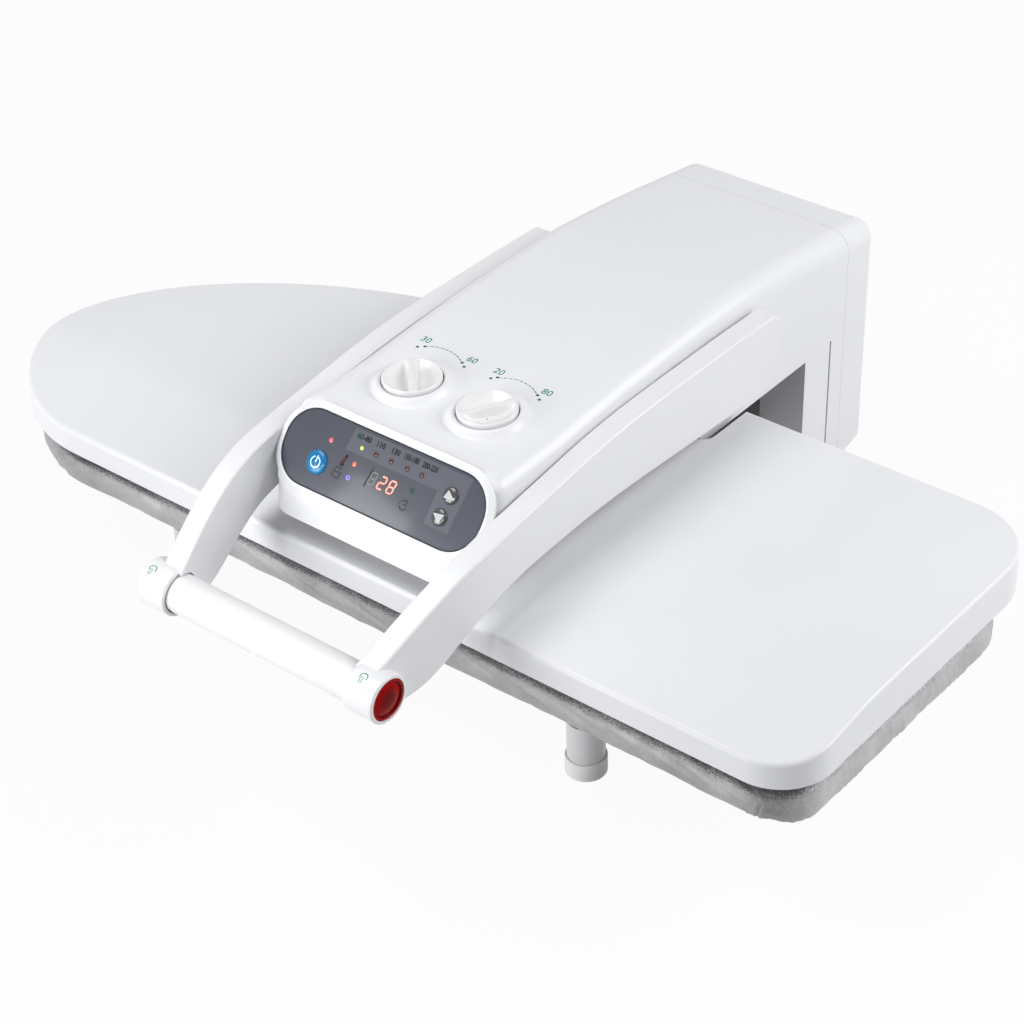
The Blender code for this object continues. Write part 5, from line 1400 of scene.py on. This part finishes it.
on_lens("heat_symbol_lamp", glow("orange-red lamp", (0.85, 0.13, 0.07), 0.75), lamp_dot(-26.7, 1.3, 1.8))
on_lens("water_lamp", glow("violet lamp", (0.22, 0.17, 0.72), 0.75), ring(-27.9, -9.7, 1.35, 1.2))
on_lens("ready_lamp", print_ink("dark green lamp", (0.006, 0.050, 0.032), gloss=0.2),
        ring(29.2, 1.3, 1.5, 0.9))
on_lens("display_edge", dark_ink, stroke([(-9.3, 4.0), (-12.3, -10.8)], 0.9))
on_lens("unlit_digit", print_ink("unlit digit", (0.20, 0.215, 0.20), 0.3),
        segments(-6.9, DIGIT_ROW, DIGIT_SIZE, ALL_BARS, 1.1))
for number, (u, bars) in enumerate(((2.2, TWO_BARS), (11.2, ALL_BARS)), 1):
    on_lens("digit_%d_halo" % number, glow("digit halo", (0.30, 0.04, 0.03), 0.5, base=(0.16, 0.03, 0.03)),
            segments(u, DIGIT_ROW, DIGIT_SIZE, bars, 2.6))
    on_lens("digit_%d" % number, glow("lit digit", (1.0, 0.40, 0.31), 0.7),
            segments(u, DIGIT_ROW, DIGIT_SIZE, bars, 1.15), level=INK)

on_lens("heat_symbol", print_ink("brown-red ink", (0.045, 0.008, 0.010), gloss=0.1), stroke(STEM, 2.2),
        ring(-37.4, -2.0, 1.2, 1.3))
on_lens("heat_symbol_core", print_ink("dull red ink", (0.16, 0.035, 0.035)), stroke(STEM[:3], 0.6), level=INK)
on_lens("water_symbol", dark_ink, stroke([(-41.6, -7.4), (-43.0, -13.0), (-36.6, -13.6), (-35.2, -7.8)], 0.75),
        stroke([(-41.4, -5.0), (-39.9, -6.1), (-38.6, -5.0), (-37.2, -6.0), (-35.9, -4.9)], 0.7),
        stroke([(-40.8, -8.6), (-39.4, -9.6), (-38.2, -8.6), (-36.9, -9.5)], 0.6))
on_lens("steam_symbol", dark_ink, ring(26.4, -11.6, 3.1, 0.65, 195.0, 345.0),
        stroke([(24.0, -9.4), (25.0, -7.6)], 0.6), ring(27.6, -8.1, 1.3, 0.6, -60.0, 200.0),
        stroke([(26.2, -10.2), (29.4, -10.6)], 0.6), stroke([(22.9, -11.2), (22.5, -10.2)], 0.6))

symbol_white = glow("backlit symbol", (0.62, 0.93, 1.0), 0.85)
on_button("power_symbol", "power_button", symbol_white, ring(0.0, -0.3, 4.2, 0.85, 112.0, 428.0),
          refine(stroke([(0.2, -0.4), (0.9, 4.9)], 0.85)))
ARROWS = {"up": ((-1.7, 3.1), (-4.1, -2.6), (4.9, -2.0)), "down": ((-4.8, 1.3), (4.3, 2.8), (1.8, -3.8))}
for name, corners in ARROWS.items():
    button = name + "_button"
    on_button(name + "_arrow_field", button, grey_ink, refine(flat(corners), 7), level=INK)
    border = stroke(corners, 0.8, closed=True)
    on_button(name + "_arrow", button, white_ink, refine(border, 7), level=3.0 * INK)


# Dial marks on the roof

def over_roof(bm):
    """Lays a flat print over the roof's curve."""
    for vert in bm.verts:
        vert.co.z += roof_z(vert.co.y)
    return bm


def dash_tree():
    """Geometry nodes that set dashes and dots by turns along a line."""
    tree = bpy.data.node_groups.new("dashes along a line", "GeometryNodeTree")
    numbers = ("Pitch", "Dash length", "Width", "Thickness", "Dot share")
    kinds = (("Line", "Geometry"), *((name, "Float") for name in numbers), ("Ink", "Material"))
    keys = {}
    for name, kind in kinds:
        socket = tree.interface.new_socket(name=name, in_out="INPUT", socket_type="NodeSocket" + kind)
        keys[name] = socket.identifier
    tree.interface.new_socket(name="Dashes", in_out="OUTPUT", socket_type="NodeSocketGeometry")
    kit = Nodes(tree)
    given = {name: kit.node("NodeGroupInput", {}, {}, name) for name, kind in kinds}
    line = kit.node("GeometryNodeResampleCurve", {"mode": "LENGTH"}, {"Curve": given["Line"],
                                                                      "Length": given["Pitch"]})
    size = kit.node("ShaderNodeCombineXYZ", {}, {"X": given["Dash length"], "Y": given["Width"],
                                                 "Z": given["Thickness"]})
    dash = kit.node("GeometryNodeMeshCube", {}, {"Size": size})
    tangent = kit.node("GeometryNodeInputTangent", {}, {})
    aim = kit.node("FunctionNodeAlignRotationToVector", {"axis": "X"}, {"Vector": tangent})
    parity = kit.maths("MODULO", kit.node("GeometryNodeInputIndex", {}, {}), 2.0)
    share = kit.node("ShaderNodeMapRange", {}, {"Value": parity, "To Min": 1.0, "To Max": given["Dot share"]})
    scale = kit.node("ShaderNodeCombineXYZ", {}, {"X": share, "Y": 1.0, "Z": 1.0})
    copies = kit.node("GeometryNodeInstanceOnPoints", {}, {"Points": line, "Instance": dash, "Rotation": aim,
                                                           "Scale": scale})
    real = kit.node("GeometryNodeRealizeInstances", {}, {"Geometry": copies})
    inked = kit.node("GeometryNodeSetMaterial", {}, {"Geometry": real, "Material": given["Ink"]})
    kit.node("NodeGroupOutput", {}, {"Dashes": inked})
    return tree, keys


def dashed_arc(name, points, tree, keys):
    """A printed dash-dot line through points of the roof, in millimetres."""
    curve = bpy.data.curves.new(name, "CURVE")
    curve.dimensions = "3D"
    line = through(points, 8)
    spline = curve.splines.new("POLY")
    spline.points.add(len(line) - 1)
    for point, (x, y) in zip(spline.points, line):
        point.co = (x * MM, y * MM, roof_z(y * MM) + INK, 1.0)
    drawn = add_object(name + "_line", curve)
    step = drawn.modifiers.new("dashes", "NODES")
    step.node_group = tree
    for key, value in DASHES.items():
        step[keys[key]] = value
    step[keys["Ink"]] = dark_green
    made = add_object(name, evaluated(drawn))
    bpy.data.objects.remove(drawn, do_unlink=True)
    return dress(made, dark_green, "head", angle=50.0)


DASHES = {"Pitch": 2.15 * MM, "Dash length": 1.7 * MM, "Width": 0.80 * MM, "Thickness": 2.0 * INK,
          "Dot share": 0.36}
ARCS = {"left": ((-30.1, -60.1), (-25.0, -57.2), (-17.7, -55.4), (-8.4, -55.6), (-1.7, -57.3), (4.5, -60.6)),
        "right": ((42.5, -61.4), (47.2, -58.9), (54.1, -56.4), (62.0, -56.0), (68.4, -57.0), (72.8, -58.5),
                  (78.4, -61.8))}
DIAL_DOTS = {"left": ((-35.7, -64.3), (-31.0, -60.8), (6.6, -61.6), (11.2, -64.9)),
             "right": ((37.5, -65.3), (41.1, -61.7), (80.3, -62.8), (84.8, -66.4))}
DIAL_NUMBERS = {"left": ((-36.0, -53.6, "30"), (11.0, -55.0, "60")),
                "right": ((37.6, -55.5, "20"), (84.2, -56.4, "80"))}
DOT = rounded_rectangle(2.5, 2.1, 0.5, 3)
KNOB_MARK = Vector((0.0042, -0.0055, 0.0))
dark_green = print_ink("dark green ink", (0.0, 0.085, 0.060))
tree, keys = dash_tree()
for name, points in ARCS.items():
    dashed_arc(name + "_dial_arc", points, tree, keys)
    squares = [flat([(x + a, y + b) for a, b in DOT]) for x, y in DIAL_DOTS[name]]
    printed(name + "_dial_dots", over_roof(merge(*squares)), dark_green, "head")
    numbers = [place(letters(words, 6.6, bold=0.06), shift(x * MM, y * MM, 0.0))
               for x, y, words in DIAL_NUMBERS[name]]
    printed(name + "_dial_numbers", over_roof(refine(merge(*numbers), 1)), green_ink, "head")
right_dial = dial_frames[1] @ turn(KNOB_TURNS[1], "Z")
spot = right_dial.inverted() @ dial_frames[1] @ KNOB_MARK
spot_z = COLLAR_WALL + GAP + KNOB_HEIGHT + knob_face(spot.x, spot.y)
mark = place(rod(0.00055, spot_z - INK, spot_z + 2.0 * INK, 20), right_dial @ shift(spot.x, spot.y, 0.0))
printed("right_knob_mark", mark, dark_ink, "right_knob")


# Steam symbols on the hubs

def round_hub(bm, x, lean):
    """Wraps a flat print round a hub, lean being its angle from the top towards the front."""
    for vert in bm.verts:
        angle = math.radians(lean) - vert.co.y / HUB_RADIUS
        out = HUB_RADIUS + vert.co.z
        vert.co = (x + vert.co.x, HUB[0] - out * math.sin(angle), HUB[1] + out * math.cos(angle))
    return bm


for name, x in (("left", -0.0765), ("right", 0.1286)):
    cap = ring(0.0, 0.6, 3.1, 0.75, -25.0, 205.0)
    nozzle = stroke([(-1.7, 0.4), (-1.9, -3.8), (0.1, -3.9), (0.3, 0.3)], 0.7, closed=True)
    printed(name + "_steam_symbol", round_hub(merge(cap, refine(nozzle, 2)), x, 25.0), green_ink, "handle")


# Camera, stage and light

WORLD_LIGHT = 0.18
WORLD_COLOUR = (0.96, 0.98, 1.0)
FLOOR_WHITE = 0.945
LAMPS = (("front softbox", (-0.80, -2.05, 0.56), (0.0, 0.0, 0.15), (1.2, 0.85), 24.0),
         ("right softbox", (1.68, 1.05, 1.50), (0.0, 0.0, 0.15), (1.5, 1.2), 40.0),
         ("top softbox", (-0.70, -0.70, 1.85), (0.0, 0.0, 0.15), (1.0, 1.0), 16.0),
         ("lens glint", (-1.21, -1.77, 0.97), (0.03, -0.20, 0.19), (0.12, 0.30), 0.5))
BEAM_PLACE = (-0.06, -1.36, 0.74)
BEAM_AIM = (0.035, -0.205, 0.130)
BEAM_ANGLE = math.radians(11.5)
BEAM_POWER = 46.0


def look_through():
    """The camera at the photograph's place, turned by its yaw, pitch and roll."""
    cos_p, sin_p = math.cos(CAMERA_PITCH), math.sin(CAMERA_PITCH)
    forward = Vector((-math.sin(CAMERA_YAW) * cos_p, math.cos(CAMERA_YAW) * cos_p, -sin_p))
    right = Vector((math.cos(CAMERA_YAW), math.sin(CAMERA_YAW), 0.0))
    down = forward.cross(right)
    c, s = math.cos(CAMERA_ROLL), math.sin(CAMERA_ROLL)
    camera = bpy.data.cameras.new("photo_camera")
    camera.lens = CAMERA_LENS
    camera.sensor_width = SENSOR
    camera.clip_start = 0.01
    made = add_object("photo_camera", camera)
    axes = Matrix((right * c + down * s, right * s - down * c, -forward)).transposed()
    made.matrix_world = Matrix.Translation(CAMERA_PLACE) @ axes.to_4x4()
    bpy.context.scene.camera = made


def lamp(kind, name, where, aim, power):
    """A lamp at a place, turned towards its aim."""
    light = bpy.data.lights.new(name, kind)
    light.energy = power
    made = add_object(name, light)
    made.location = where
    made.rotation_euler = (Vector(aim) - Vector(where)).to_track_quat("-Z", "Y").to_euler()
    return light


def seen_white(kit):
    """One for the rays of the camera, of gloss and of clear plastic, which see the plain pale studio."""
    camera, gloss, clear = (kit.node("ShaderNodeLightPath", {}, {}, "Is %s Ray" % ray)
                            for ray in ("Camera", "Glossy", "Transmission"))
    return kit.maths("MAXIMUM", kit.maths("MAXIMUM", camera, gloss), clear)


def floor_finish():
    """A pale floor that keeps a faint soft shadow."""
    finish = Finish("pale floor")
    finish.set(Base_Color=(0.70, 0.70, 0.71), Roughness=0.9, Specular_IOR_Level=0.1)
    lit = Value(finish, finish.shader.outputs[0])
    white = finish.node("ShaderNodeEmission", {}, {})
    mixed = finish.node("ShaderNodeMixShader", {}, {0: seen_white(finish) * FLOOR_WHITE, 1: lit, 2: white})
    finish.feed(finish.tree.nodes["Material Output"].inputs["Surface"], mixed)
    return finish.material


def studio():
    """The floor, the world's soft light from all round, and the lamps."""
    bm = bmesh.new()
    bmesh.ops.create_grid(bm, x_segments=1, y_segments=1, size=14.0)
    floor = to_object("floor", place(bm, shift(0.0, 0.0, -GAP)))
    floor.data.materials.append(floor_finish())

    world = bpy.data.worlds.new("studio")
    bpy.context.scene.world = world
    world.use_nodes = True
    world.node_tree.nodes.clear()
    kit = Nodes(world.node_tree)
    around = kit.node("ShaderNodeBackground", {}, {"Color": WORLD_COLOUR, "Strength": WORLD_LIGHT})
    pale = kit.node("ShaderNodeBackground", {}, {})
    mixed = kit.node("ShaderNodeMixShader", {}, {0: seen_white(kit), 1: around, 2: pale})
    kit.node("ShaderNodeOutputWorld", {}, {0: mixed})
    for name, where, aim, size, power in LAMPS:
        light = lamp("AREA", name, where, aim, power)
        light.shape = "RECTANGLE"
        light.size, light.size_y = size

    # A narrow soft beam on the casing below the panel, between the arms.
    light = lamp("SPOT", "panel fill", BEAM_PLACE, BEAM_AIM, BEAM_POWER)
    light.spot_size = BEAM_ANGLE
    light.spot_blend = 1.0
    light.shadow_soft_size = 0.15


look_through()
studio()
bpy.context.scene.view_settings.view_transform = "Standard"
